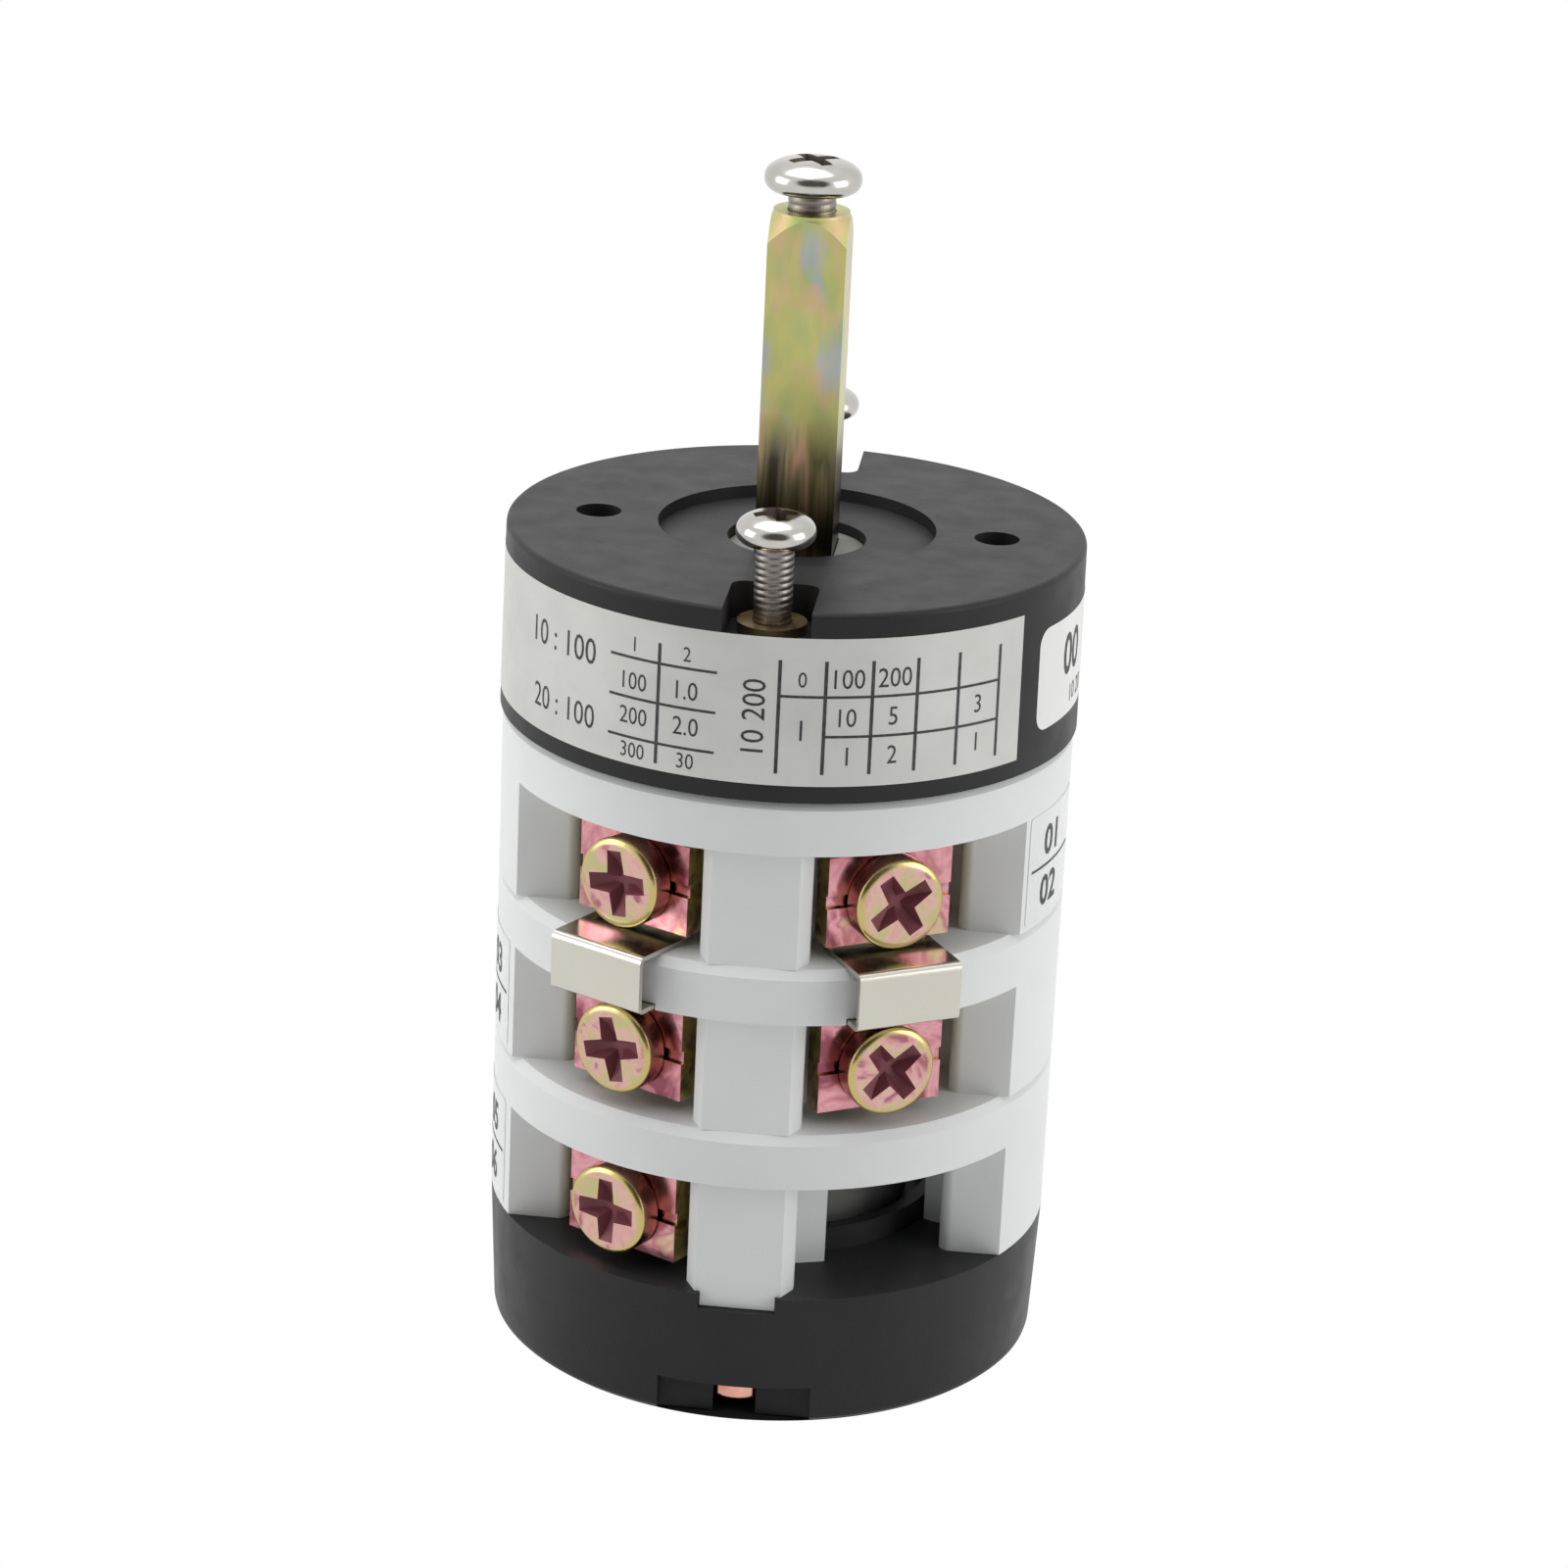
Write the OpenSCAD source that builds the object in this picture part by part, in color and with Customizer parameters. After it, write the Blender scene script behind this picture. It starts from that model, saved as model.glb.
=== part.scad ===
// Reversing drum switch: a base, three contact decks and a detent housing, clamped by two
// tie bolts and turned by one square shaft. The origin is the centre of the underside, +Z
// runs up the shaft, and -Y is the front, where the two jumper links are. The shaft is
// drawn in its middle position, off, and turns 45 degrees each way.

/* [Stack] */
// Radius of the contact decks
deck_r = 29.9; // [29.5:0.1:31]
// Height of one contact deck
deck_h = 18.2; // [17.8:0.1:22]
// Height of the base's rim above the surface it stands on
base_h = 14.4; // [13:0.1:20]
// Height of the detent housing
housing_h = 19.6; // [19.2:0.1:26]

/* [Base] */
// How much smaller the base's radius is at its foot than at its rim
base_draft = 0.6; // [0.2:0.1:1]
// Rounding of the foot's outer edge
base_round = 0.8; // [0.3:0.1:1.5]
// Thickness of the base's outer wall
base_wall = 2.6; // [2:0.1:4]
// Thickness of the base's top plate
base_plate_t = 4.4; // [3:0.1:6]
// Width of the notch over each tie bolt's head
base_notch_w = 16; // [10:0.5:20]
// Height of that notch
base_notch_h = 4; // [2.5:0.1:5]
// How far that notch cuts in from the foot's edge
base_notch_in = 2.1; // [1.5:0.1:2.3]
// Height of the collar that centres the next deck
collar_h = 2.6; // [1.5:0.1:2.8]
// Thickness of the collar's wall
collar_wall = 1.4; // [1:0.1:1.8]
// Depth of the thrust washer's recess inside the collar
washer_recess = 0.8; // [0.8:0.1:1.5]
// Number of ribs under the base's plate
rib_count = 4; // [2:2:4]
// Thickness of a rib
rib_t = 1.6; // [1:0.1:2.4]
// Radius of the boss round each tie bolt
bolt_boss_r = 5.8; // [5.2:0.1:6.2]
// Radius of the boss round the shaft's lower bearing
bearing_boss_r = 7.5; // [6:0.1:9]
// Height of the bearing boss above the ground
bearing_boss_z = 5.4; // [5:0.1:7]

/* [Contact decks] */
// Thickness of a deck's round flange
flange_t = 5.75; // [5:0.05:6]
// Bevel on the flange's upper edge
flange_bevel = 0.9; // [0.2:0.1:1]
// Outer radius of the wall round the rotor's chamber, as a share of the deck's radius
core_share = 0.706; // [0.69:0.001:0.71]
// Radius of the rotor's chamber, as a share of the deck's radius
chamber_share = 0.636; // [0.63:0.001:0.65]
// Half distance between the flat ends of the side blocks, as a share of the deck's radius
flat_share = 0.485; // [0.45:0.001:0.5]
// Where a side block starts, as a share of the deck's radius
block_share = 0.659; // [0.655:0.001:0.69]
// Rounding of the side block's corner
block_round = 1.2; // [0.5:0.1:2]
// Distance of a column's front face from the axis, as a share of the deck's radius
column_share = 0.967; // [0.955:0.001:0.975]
// Width of a column's front face, as a share of the deck's radius
column_face_share = 0.298; // [0.24:0.001:0.315]
// Width of a column behind its bevels, as a share of the deck's radius
column_wide_share = 0.37; // [0.36:0.001:0.394]
// Width of a column where it meets the chamber's wall, as a share of the deck's radius
column_neck_share = 0.241; // [0.22:0.001:0.247]
// Width of the lowest deck's locating foot
foot_w = 7.8; // [6:0.1:8.4]
// How far that foot reaches down into the base
foot_drop = 1.6; // [1:0.1:2.5]
// Depth of that foot from front to back
foot_t = 2.2; // [1.5:0.1:2.6]
// Angle from the front line to the near side of a terminal window
window_near = 22.6; // [22:0.1:23.2]
// Angle from the front line to the far side of a terminal window
window_far = 68; // [60:0.5:70]

/* [Terminals] */
// Angle of a terminal's screw from the front or rear line
terminal_a = 30; // [29.5:0.1:30.5]
// Height of a terminal's screw above the deck's floor, as a share of the pocket's height
terminal_share = 0.506; // [0.5:0.001:0.51]
// How much lower a clamp plate and a terminal screw's head are than the pocket
pocket_room = 2.85; // [2.7:0.05:3.5]
// Distance of the contact tab's outer face from the axis, as a share of the deck's radius
tab_share = 0.769; // [0.766:0.001:0.772]
// Thickness of the contact strip
strip_t = 1; // [0.8:0.1:1.1]
// Width of the contact tab, as a share of the deck's radius
tab_wide_share = 0.375; // [0.3:0.001:0.388]
// Gap between the contact tab and the flange above it
tab_room = 1.45; // [1:0.05:2]
// Width of the contact blade, as a share of the deck's radius
blade_wide_share = 0.234; // [0.17:0.001:0.25]
// Shift of the blade's middle from the screw's line, as a share of the deck's radius
blade_shift_share = 0.074; // [0.068:0.001:0.08]
// Height of the upright contact face at the blade's inner end
contact_h = 6; // [5:0.1:6.5]
// Width of that face, as a share of the deck's radius
contact_wide_share = 0.134; // [0.1:0.001:0.145]
// Thickness of the upright contact face
contact_t = 1.4; // [1:0.1:1.4]
// Width of a clamp plate, as a share of the deck's radius
clamp_wide_share = 0.458; // [0.45:0.001:0.492]
// Distance of the clamp plate's face from the axis, as a share of the deck's radius
clamp_share = 0.87; // [0.867:0.001:0.872]
// Thickness of a clamp plate
clamp_t = 1.1; // [0.8:0.1:1.2]
// Depth of a clamp plate's side flanges
clamp_flange = 2.7; // [2:0.1:2.8]
// Width of the groove across a clamp plate
clamp_groove_w = 1.4; // [0.8:0.1:2]
// Depth of the groove across a clamp plate
clamp_groove = 0.4; // [0.2:0.05:0.5]
// Thread diameter of a terminal screw
terminal_m = 4.9; // [4:0.1:5]
// Length of a terminal screw under its head
terminal_len = 5.6; // [4.5:0.1:5.8]
// Head height of a terminal screw
terminal_head_h = 2.8; // [2:0.1:3]
// Share of a terminal screw's or tie bolt's head that is flat
cheese_flat_share = 0.8; // [0.2:0.01:0.9]
// Share of that head's height that is its upright side
cheese_side_share = 0.8; // [0.3:0.01:0.9]

/* [Jumper links] */
// Width of a jumper link, as a share of the deck's radius
link_wide_share = 0.378; // [0.3:0.001:0.39]
// Thickness of a jumper link
link_t = 0.5; // [0.4:0.1:0.7]
// How far the link's outer face stands out from the deck
link_out = 2.1; // [1.7:0.1:3]
// Outer radius of the link's bends
link_bend = 0.8; // [0.8:0.1:1.2]
// Length of the upper fork that stands behind the clamp plate
link_fork = 8; // [7:0.1:9]

/* [Detent housing] */
// How much larger the housing's radius is at its top than the decks'
housing_over = 0.1; // [0:0.05:0.3]
// How much larger the housing's radius is at its lower edge than at its top
housing_draft = 0.2; // [0:0.05:0.5]
// Rounding of the housing's upper edge
housing_round = 0.5; // [0.2:0.1:1]
// Radius of the recess in the top face, as a share of the deck's radius
recess_share = 0.482; // [0.4:0.001:0.53]
// Depth of that recess
recess_depth = 1.3; // [0.5:0.1:2]
// Radius of the bore in the top face
hub_hole_r = 7.2; // [7.2:0.01:7.22]
// Half distance between the two fixing holes in the top face, as a share of the deck's radius
fixing_share = 0.6923; // [0.67:0.0001:0.73]
// Radius of a fixing hole
fixing_r = 2.35; // [1.5:0.05:2.6]
// Depth of a fixing hole
fixing_depth = 13; // [8:0.5:14]
// Width of the rim notch over each tie bolt
notch_w = 8.8; // [8:0.1:10]
// Distance of the notch's back wall from the axis, as a share of the deck's radius
notch_share = 0.682; // [0.66:0.001:0.682]
// Depth of the notch below the top face
notch_depth = 3.7; // [3:0.1:5]
// Rounding of the notch's inner corners
notch_round = 1.4; // [0.5:0.1:2.5]
// Radius of the detent's chamber, as a share of the deck's radius
detent_share = 0.542; // [0.53:0.001:0.56]
// Depth of the stop ribs' roots in the chamber's wall
rib_root = 1; // [0.5:0.1:2]

/* [Detent] */
// Distance across the flats of the eight-sided index cam
cam_af = 17; // [16:0.1:18]
// Height of the index cam
cam_h = 9.2; // [8.6:0.1:9.4]
// Radius of the cam's hub, which turns in the top face's bore and shows round the shaft
cam_hub_r = 7.12; // [7.1:0.01:7.17]
// Depth of the hub's end below the recess
cam_hub_drop = 1.1; // [0.5:0.1:2]
// Thickness of a detent spring
leaf_t = 0.6; // [0.4:0.05:0.8]
// Width of a detent spring
leaf_h = 6; // [4:0.1:6]
// Distance of a spring's upper edge below the cam's top
leaf_drop = 0.6; // [0.2:0.1:0.6]
// Radius of the stop plate's disc
stop_r = 10; // [9.2:0.1:11]
// How far the stop plate's lug ends inside the detent's chamber
stop_lug_in = 2; // [1.5:0.1:2.8]
// Half angle of the stop plate's lug
stop_lug_a = 9; // [6:0.5:12]
// Thickness of the stop plate
stop_t = 2; // [1.5:0.1:2.4]
// Turn of the shaft from the middle to each end stop
turn = 45; // [45:1:45]

/* [Shaft] */
// Width across the flats of the square shaft
shaft_af = 8; // [7:0.1:8.4]
// Height of the shaft's end above the housing's top face
shaft_out = 33.2; // [20:0.1:60]
// Radius of the turned upper end
shaft_tip_r = 3.9; // [3.4:0.05:3.95]
// Length of the turned upper end
shaft_tip = 0.3; // [0.2:0.1:3]
// Height of the cone below the turned upper end
shaft_nose = 2.6; // [1:0.1:4]
// Radius of the turned lower end in the base
shaft_foot_r = 3.9; // [3:0.05:3.95]
// Height of the shaft's lower end above the ground
shaft_foot_z = 2.6; // [1.5:0.1:3.2]
// Radius at the bottom of the clip's groove
clip_groove_r = 3.1; // [2.8:0.05:3.3]
// Outer radius of the retaining clip
clip_r = 6; // [5:0.1:7]
// Thickness of the retaining clip
clip_t = 0.8; // [0.6:0.05:1]
// Opening of the retaining clip
clip_gap = 4; // [3:0.1:4.6]

/* [Rotors] */
// Radius of a rotor's disc, as a share of the deck's radius
rotor_share = 0.508; // [0.5:0.001:0.515]
// Radius of a rotor's hub, as a share of the deck's radius
hub_share = 0.368; // [0.32:0.001:0.372]
// How far the bridge contacts' faces stand out from the rotor's disc
bridge_out = 0.8; // [0.6:0.05:0.9]
// How deep a bridge contact lies in the disc between its tips
bridge_in = 1; // [0.8:0.1:1.2]
// Thickness of a bridge contact
bridge_t = 1.2; // [0.8:0.1:1.3]
// Height of a bridge contact
bridge_h = 5; // [4:0.1:5.4]
// Angle from a bridge's middle to each of its tips
bridge_a = 52; // [51:0.5:53]
// Half angle of a tip
tip_a = 4.5; // [3:0.5:5]
// Thickness of a bridge's leaf spring
bridge_spring_t = 0.3; // [0.2:0.05:0.4]
// How much smaller the radius of a bridge's leaf spring is than the disc's
spring_in = 0.2; // [0:0.1:0.6]
// Half angle of a bridge's leaf spring, about its own centre
bridge_spring_a = 25; // [15:1:28]

/* [Fasteners] */
// Distance of the tie bolts from the shaft's line, as a share of the deck's radius
bolt_share = 0.8027; // [0.8:0.0001:0.809]
// Thread diameter of the tie bolts and mounting screws
bolt_m = 3.9; // [3:0.1:4]
// Head diameter of a tie bolt
bolt_head = 6.9; // [6.4:0.1:7.2]
// Head height of a tie bolt
bolt_head_h = 2.8; // [2:0.1:3]
// Height of a tie bolt's head above the ground
bolt_head_z = 1.3; // [1:0.1:3]
// Outer diameter of a sleeve nut's body
sleeve_d = 5.8; // [5.2:0.1:6]
// Share of a mounting or handle screw's domed head that is flat
pan_flat_share = 0.32; // [0.2:0.01:0.8]
// Share of that head's height that is its upright side
pan_side_share = 0.45; // [0.3:0.01:0.8]
// Diameter of a sleeve nut's flange
sleeve_flange_d = 7; // [6.6:0.1:7.4]
// Thickness of a sleeve nut's flange
sleeve_flange_t = 0.9; // [0.6:0.1:1.5]
// Length of a mounting screw under its head
mount_len = 15; // [12:0.5:20]
// How far a mounting screw's head stands above the housing's top face
mount_out = 5.2; // [1:0.1:8]
// Head diameter of a mounting screw
mount_head = 8; // [7:0.1:8.4]
// Head height of a mounting screw
mount_head_h = 3.1; // [2:0.1:3.4]
// Thread diameter of the handle screw
handle_m = 4.9; // [4:0.1:5]
// Length of the handle screw under its head
handle_len = 12; // [8:0.5:20]
// Gap between the shaft's end and the handle screw's head
handle_out = 1.9; // [0.5:0.1:10]
// Head diameter of the handle screw
handle_head = 9.9; // [8:0.1:11]
// Head height of the handle screw
handle_head_h = 3.3; // [2:0.1:4]

/* [Clearances] */
// Radial clearance of a turning fit
run_fit = 0.08; // [0.03:0.01:0.1]
// Radial clearance of a screw in its thread or hole
screw_fit = 0.05; // [0.03:0.01:0.1]
// Radial clearance of a bolt that passes through
pass_fit = 0.2; // [0.1:0.05:0.4]
// Gap between parts that turn and parts that stand still
turn_gap = 0.3; // [0.2:0.05:0.4]
// Gap between an open bridge contact and the fixed contacts' faces
contact_gap = 0.25; // [0.2:0.05:0.3]
// Gap round a piece that is slipped into its seat
seat_gap = 0.1; // [0.05:0.05:0.2]

/* [Hidden] */
$fn = 96;

// Radii and widths that follow from the decks' radius
base_top_r = deck_r;
base_foot_r = base_top_r - base_draft;
base_notch_y = base_foot_r - base_notch_in;
housing_top_r = deck_r + housing_over;
housing_foot_r = housing_top_r + housing_draft;
core_r = deck_r * core_share;
chamber_r = deck_r * chamber_share;
collar_r = chamber_r - turn_gap;
flat_y = deck_r * flat_share;
block_x = deck_r * block_share;
column_y = deck_r * column_share;
column_face_w = deck_r * column_face_share;
column_w = deck_r * column_wide_share;
column_neck_w = deck_r * column_neck_share;
tab_d = deck_r * tab_share;
tab_w = deck_r * tab_wide_share;
blade_w = deck_r * blade_wide_share;
blade_shift = deck_r * blade_shift_share;
contact_w = deck_r * contact_wide_share;
clamp_w = deck_r * clamp_wide_share;
clamp_d = deck_r * clamp_share;
link_w = deck_r * link_wide_share;
fork_w = clamp_w - 2 * (clamp_t + 2 * seat_gap);
link_d = deck_r + link_out;
recess_r = deck_r * recess_share;
fixing_x = deck_r * fixing_share;
notch_y = deck_r * notch_share;
bolt_y = deck_r * bolt_share;
detent_r = deck_r * detent_share;
leaf_len = 2 * (detent_r - stop_lug_in / 2);
stop_lug_r = detent_r - stop_lug_in;
rotor_r = deck_r * rotor_share;
hub_r = deck_r * hub_share;
bridge_r = rotor_r + bridge_out;
bridge_arc_r = rotor_r - bridge_in;
bridge_spring_r = rotor_r - spring_in;

// Levels up the stack
lower_z = base_h;
middle_z = lower_z + deck_h;
upper_z = middle_z + deck_h;
housing_z = upper_z + deck_h;
top_z = housing_z + housing_h;
recess_z = top_z - recess_depth;
notch_z = top_z - notch_depth;
shaft_top_z = top_z + shaft_out;
pocket_h = deck_h - flange_t;
terminal_z = pocket_h * terminal_share;
tab_top = pocket_h - tab_room;
clamp_h = pocket_h - pocket_room;
terminal_head = clamp_h;

// Levels of the detent, from the stop plate up
stop_z = housing_z + turn_gap;
cam_z = stop_z + stop_t + turn_gap;
cam_top_z = cam_z + cam_h;
detent_top_z = cam_top_z + turn_gap;
leaf_top_z = cam_top_z - leaf_drop;
leaf_y = cam_af / 2 + seat_gap / 2;
clip_z = bearing_boss_z - turn_gap - clip_t;

// Sizes that follow from the fits
square_bore = shaft_af + 2 * seat_gap;
corner_r = shaft_af / sqrt(2);
hub_bore_r = hub_r + turn_gap;
contact_r = bridge_r + contact_gap;
bolt_r = bolt_m / 2;
bolt_hole_r = bolt_r + pass_fit;
head_hole_r = bolt_head / 2 + screw_fit + pass_fit * 2;
sleeve_foot_z = stop_z + stop_t;
rotor_disc_z = turn_gap * 3;
rotor_disc_top = pocket_h - turn_gap * 3 / 2;
blade_z = collar_h + seat_gap;
bridge_z = blade_z + (contact_h - bridge_h) / 2;
groove_h = bridge_h + 2 * turn_gap;
groove_r = bridge_arc_r - bridge_t - 2 * bridge_spring_t - turn_gap;
overrun = 1;
faces = 32;

// Colours
black_plastic = [0.16, 0.16, 0.17];
pale_plastic = [0.80, 0.81, 0.81];
rotor_plastic = [0.45, 0.45, 0.43];
yellow_zinc = [0.80, 0.72, 0.42];
nickel = [0.82, 0.81, 0.78];
copper = [0.80, 0.50, 0.32];
spring_steel = [0.60, 0.62, 0.64];

// Carries a front right feature to the named quarter
module quarter(left, rear) {
    if (left && rear) rotate(180) children();
    else if (left) mirror([1, 0, 0]) children();
    else if (rear) mirror([0, 1, 0]) children();
    else children();
}

// Puts children at the front and rear tie bolts
module front_and_rear() {
    children();
    mirror([0, 1, 0]) children();
}

// Turns the X axis to the front right terminal's screw
module terminal_line() {
    rotate(terminal_a - 90) children();
}

// Part of a ring between two radii and two angles
module ring_part(inner, outer, from, to, height) {
    rotate(from) rotate_extrude(angle = to - from)
        translate([inner, 0]) square([outer - inner, height]);
}

// Screw head that stands on Z = 0, with an upright side and a domed top of which a share is flat
module screw_head(diameter, height, side_share, flat_share) {
    steps = 6;
    side = height * side_share;
    rise = height - side;
    reach = diameter / 2 * (1 - flat_share);
    rotate_extrude()
        polygon(concat([[0, 0], [diameter / 2, 0]],
            [for (i = [0 : steps]) [diameter / 2 - reach * (1 - cos(90 * i / steps)),
                side + rise * sin(90 * i / steps)]],
            [[0, height]]));
}

// Collar that centres the next piece of the stack
module collar() {
    rotate_extrude()
        polygon([[collar_r - collar_wall, -base_plate_t / 2], [collar_r, -base_plate_t / 2],
            [collar_r, collar_h], [collar_r - collar_wall, collar_h]]);
}

// Base: a shallow moulded cup, open below, with ribs, bosses and a collar on its plate
module base_body() {
    rotate_extrude()
        polygon([[0, 0], [base_foot_r - base_round, 0],
            for (a = [-60 : 30 : 0]) [base_foot_r - base_round * (1 - cos(a)), base_round * (1 + sin(a))],
            [base_top_r, base_h], [0, base_h]]);
    translate([0, 0, base_h]) collar();
}

module base_hollow() {
    difference() {
        translate([0, 0, -overrun])
            cylinder(r = base_foot_r - base_wall, h = base_h - base_plate_t + overrun);
        front_and_rear() translate([0, -bolt_y, -overrun])
            cylinder(r = bolt_boss_r, h = base_h + overrun);
        translate([0, 0, bearing_boss_z]) cylinder(r = bearing_boss_r, h = base_h);
        for (i = [0 : rib_count - 1]) rotate(360 * (i + 1 / 2) / rib_count)
            translate([bearing_boss_r - rib_t, -rib_t / 2, bearing_boss_z])
                cube([base_foot_r - bearing_boss_r, rib_t, base_h]);
    }
}

module base() {
    color(black_plastic) difference() {
        base_body();
        base_hollow();
        translate([0, 0, base_h - washer_recess]) cylinder(r = hub_bore_r, h = base_h);
        translate([0, 0, -overrun]) cylinder(r = shaft_foot_r + run_fit, h = base_h + collar_h);
        front_and_rear() {
            translate([0, -bolt_y, -overrun]) {
                cylinder(r = bolt_hole_r, h = base_h + 2 * overrun);
                cylinder(r = head_hole_r, h = bolt_head_z + bolt_head_h + overrun);
            }
            translate([-base_notch_w / 2, -base_foot_r - overrun, -overrun])
                cube([base_notch_w, base_foot_r - base_notch_y + overrun, base_notch_h + overrun]);
            translate([-foot_w / 2 - seat_gap, -base_top_r - overrun, base_h - foot_drop - seat_gap])
                cube([foot_w + 2 * seat_gap, base_top_r - column_y + foot_t + seat_gap + overrun,
                    foot_drop + seat_gap + overrun]);
        }
    }
}

// Plan of one side block, whose flat ends face front and rear
module side_block_plan() {
    intersection() {
        circle(r = deck_r);
        union() {
            translate([block_x, block_round - flat_y]) square([deck_r, 2 * (flat_y - block_round)]);
            translate([block_x + block_round, -flat_y]) square([deck_r, 2 * flat_y]);
            for (s = [-1, 1]) translate([block_x + block_round, s * (flat_y - block_round)])
                circle(r = block_round, $fn = faces);
        }
    }
}

// Plan of the front column, which the tie bolt passes through
module column_plan() {
    bevel = column_w - column_face_w;
    right = [[column_face_w / 2, -column_y], [column_w / 2, bevel - column_y],
        [column_w / 2, bevel * 3 / 2 - column_y], [column_neck_w / 2, -core_r],
        [column_neck_w / 2, -chamber_r]];
    left = [for (i = [len(right) - 1 : -1 : 0]) [-right[i][0], right[i][1]]];
    polygon(concat(right, left));
}

// Window through the chamber's wall for one contact blade, from the column to the side block
module window_plan() {
    reach = deck_r;
    intersection() {
        polygon([[0, 0], [reach * tan(window_near), -reach], [reach * tan(window_far), -reach]]);
        translate([0, -reach]) square([block_x, reach]);
    }
}

module deck_plan() {
    difference() {
        union() {
            circle(r = core_r);
            side_block_plan();
            mirror([1, 0]) side_block_plan();
            column_plan();
            mirror([0, 1]) column_plan();
        }
        circle(r = chamber_r);
        for (left = [false, true], rear = [false, true]) quarter(left, rear) window_plan();
    }
}

module deck_flange() {
    rotate_extrude()
        polygon([[hub_bore_r, pocket_h], [deck_r, pocket_h], [deck_r, deck_h - flange_bevel],
            [deck_r - flange_bevel, deck_h], [hub_bore_r, deck_h]]);
}

// Recess under the flange for the lower leg of a jumper link
module link_recess() {
    terminal_line() translate([tab_d - link_t, -link_w / 2 - seat_gap, pocket_h - overrun])
        cube([deck_r, link_w + 2 * seat_gap, overrun + link_t + 2 * seat_gap]);
}

// Contact deck: a flange carried by two side blocks, two columns and the chamber's wall
module deck() {
    color(pale_plastic) difference() {
        union() {
            linear_extrude(pocket_h + flange_bevel) deck_plan();
            deck_flange();
            translate([0, 0, deck_h]) collar();
        }
        front_and_rear() translate([0, -bolt_y, -overrun])
            cylinder(r = bolt_hole_r, h = deck_h + 2 * overrun);
    }
}

module deck_lower() {
    translate([0, 0, lower_z]) deck();
    color(pale_plastic) front_and_rear()
        translate([-foot_w / 2, -column_y, lower_z - foot_drop]) cube([foot_w, foot_t, foot_drop]);
}

module deck_middle() {
    color(pale_plastic) translate([0, 0, middle_z]) difference() {
        deck();
        for (left = [false, true]) quarter(left, false) link_recess();
    }
}

module deck_upper() {
    translate([0, 0, upper_z]) deck();
}

// Housing: a moulded drum with the detent's chamber below and the mounting face on top
module housing_body() {
    rotate_extrude()
        polygon([[0, housing_z], [housing_foot_r, housing_z],
            for (a = [0 : 30 : 90]) [housing_top_r - housing_round * (1 - cos(a)),
                top_z - housing_round * (1 - sin(a))],
            [0, top_z]]);
}

// Rim notch over the front tie bolt, round in its inner corners
module rim_notch() {
    half = notch_w / 2 - notch_round;
    translate([0, 0, notch_z]) linear_extrude(notch_depth + overrun) {
        translate([-notch_w / 2, -housing_foot_r - overrun])
            square([notch_w, housing_foot_r - notch_y - notch_round + overrun]);
        translate([-half, -housing_foot_r]) square([2 * half, housing_foot_r - notch_y]);
        for (s = [-1, 1]) translate([s * half, -notch_y - notch_round])
            circle(r = notch_round, $fn = faces);
    }
}

// Room for one detent spring, with slots in the chamber's wall for its ends
module leaf_room() {
    translate([-leaf_len / 2 - turn_gap, -leaf_y - leaf_t - turn_gap, housing_z])
        cube([leaf_len + 2 * turn_gap, leaf_t + 2 * turn_gap, leaf_top_z + turn_gap - housing_z]);
}

// Two ribs that the stop plate's lug meets at the ends of its travel
module stop_ribs() {
    free_a = turn + stop_lug_a + asin(turn_gap / stop_r);
    rib_a = asin(rib_root / stop_r);
    for (s = [-1, 1]) rotate(90 + s * (free_a + rib_a)) translate([0, 0, stop_z])
        ring_part(stop_r + turn_gap, detent_r + rib_root, -rib_a, rib_a, leaf_top_z - leaf_h - turn_gap - stop_z);
}

module detent_housing() {
    spigot_h = collar_h + turn_gap;
    color(black_plastic) difference() {
        union() {
            difference() {
                housing_body();
                translate([0, 0, housing_z - overrun]) cylinder(r = chamber_r, h = spigot_h + overrun);
                translate([0, 0, housing_z]) cylinder(r = detent_r, h = detent_top_z - housing_z);
                front_and_rear() leaf_room();
            }
            stop_ribs();
        }
        translate([0, 0, housing_z - overrun])
            ring_part(collar_r - collar_wall - turn_gap, chamber_r, 0, 360, spigot_h + overrun);
        translate([0, 0, recess_z]) cylinder(r = recess_r, h = recess_depth + overrun);
        translate([0, 0, detent_top_z - overrun]) cylinder(r = hub_hole_r, h = top_z - detent_top_z + 2 * overrun);
        for (s = [-1, 1]) translate([s * fixing_x, 0, top_z - fixing_depth])
            cylinder(r = fixing_r, h = fixing_depth + overrun);
        front_and_rear() {
            rim_notch();
            translate([0, -bolt_y, housing_z - overrun])
                cylinder(r = sleeve_d / 2 + seat_gap, h = housing_h);
        }
    }
}

// Square bar, turned at both ends, with a groove for the retaining clip
module square_shaft() {
    wide = corner_r + overrun;
    neck_z = shaft_top_z - shaft_tip;
    cone_z = neck_z - shaft_nose * (wide - shaft_tip_r) / (corner_r - shaft_tip_r);
    color(yellow_zinc) difference() {
        intersection() {
            translate([-shaft_af / 2, -shaft_af / 2, shaft_foot_z])
                cube([shaft_af, shaft_af, shaft_top_z - shaft_foot_z]);
            rotate_extrude()
                polygon([[0, 0], [shaft_foot_r, 0], [shaft_foot_r, clip_z - seat_gap / 2],
                    [clip_groove_r, clip_z - seat_gap / 2], [clip_groove_r, clip_z + clip_t + seat_gap / 2],
                    [shaft_foot_r, clip_z + clip_t + seat_gap / 2], [shaft_foot_r, base_h], [wide, base_h],
                    [wide, cone_z], [shaft_tip_r, neck_z],
                    [shaft_tip_r, shaft_top_z], [0, shaft_top_z]]);
        }
        translate([0, 0, shaft_top_z - handle_len]) cylinder(r = handle_m / 2 + screw_fit, h = handle_len + overrun);
    }
}

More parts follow.
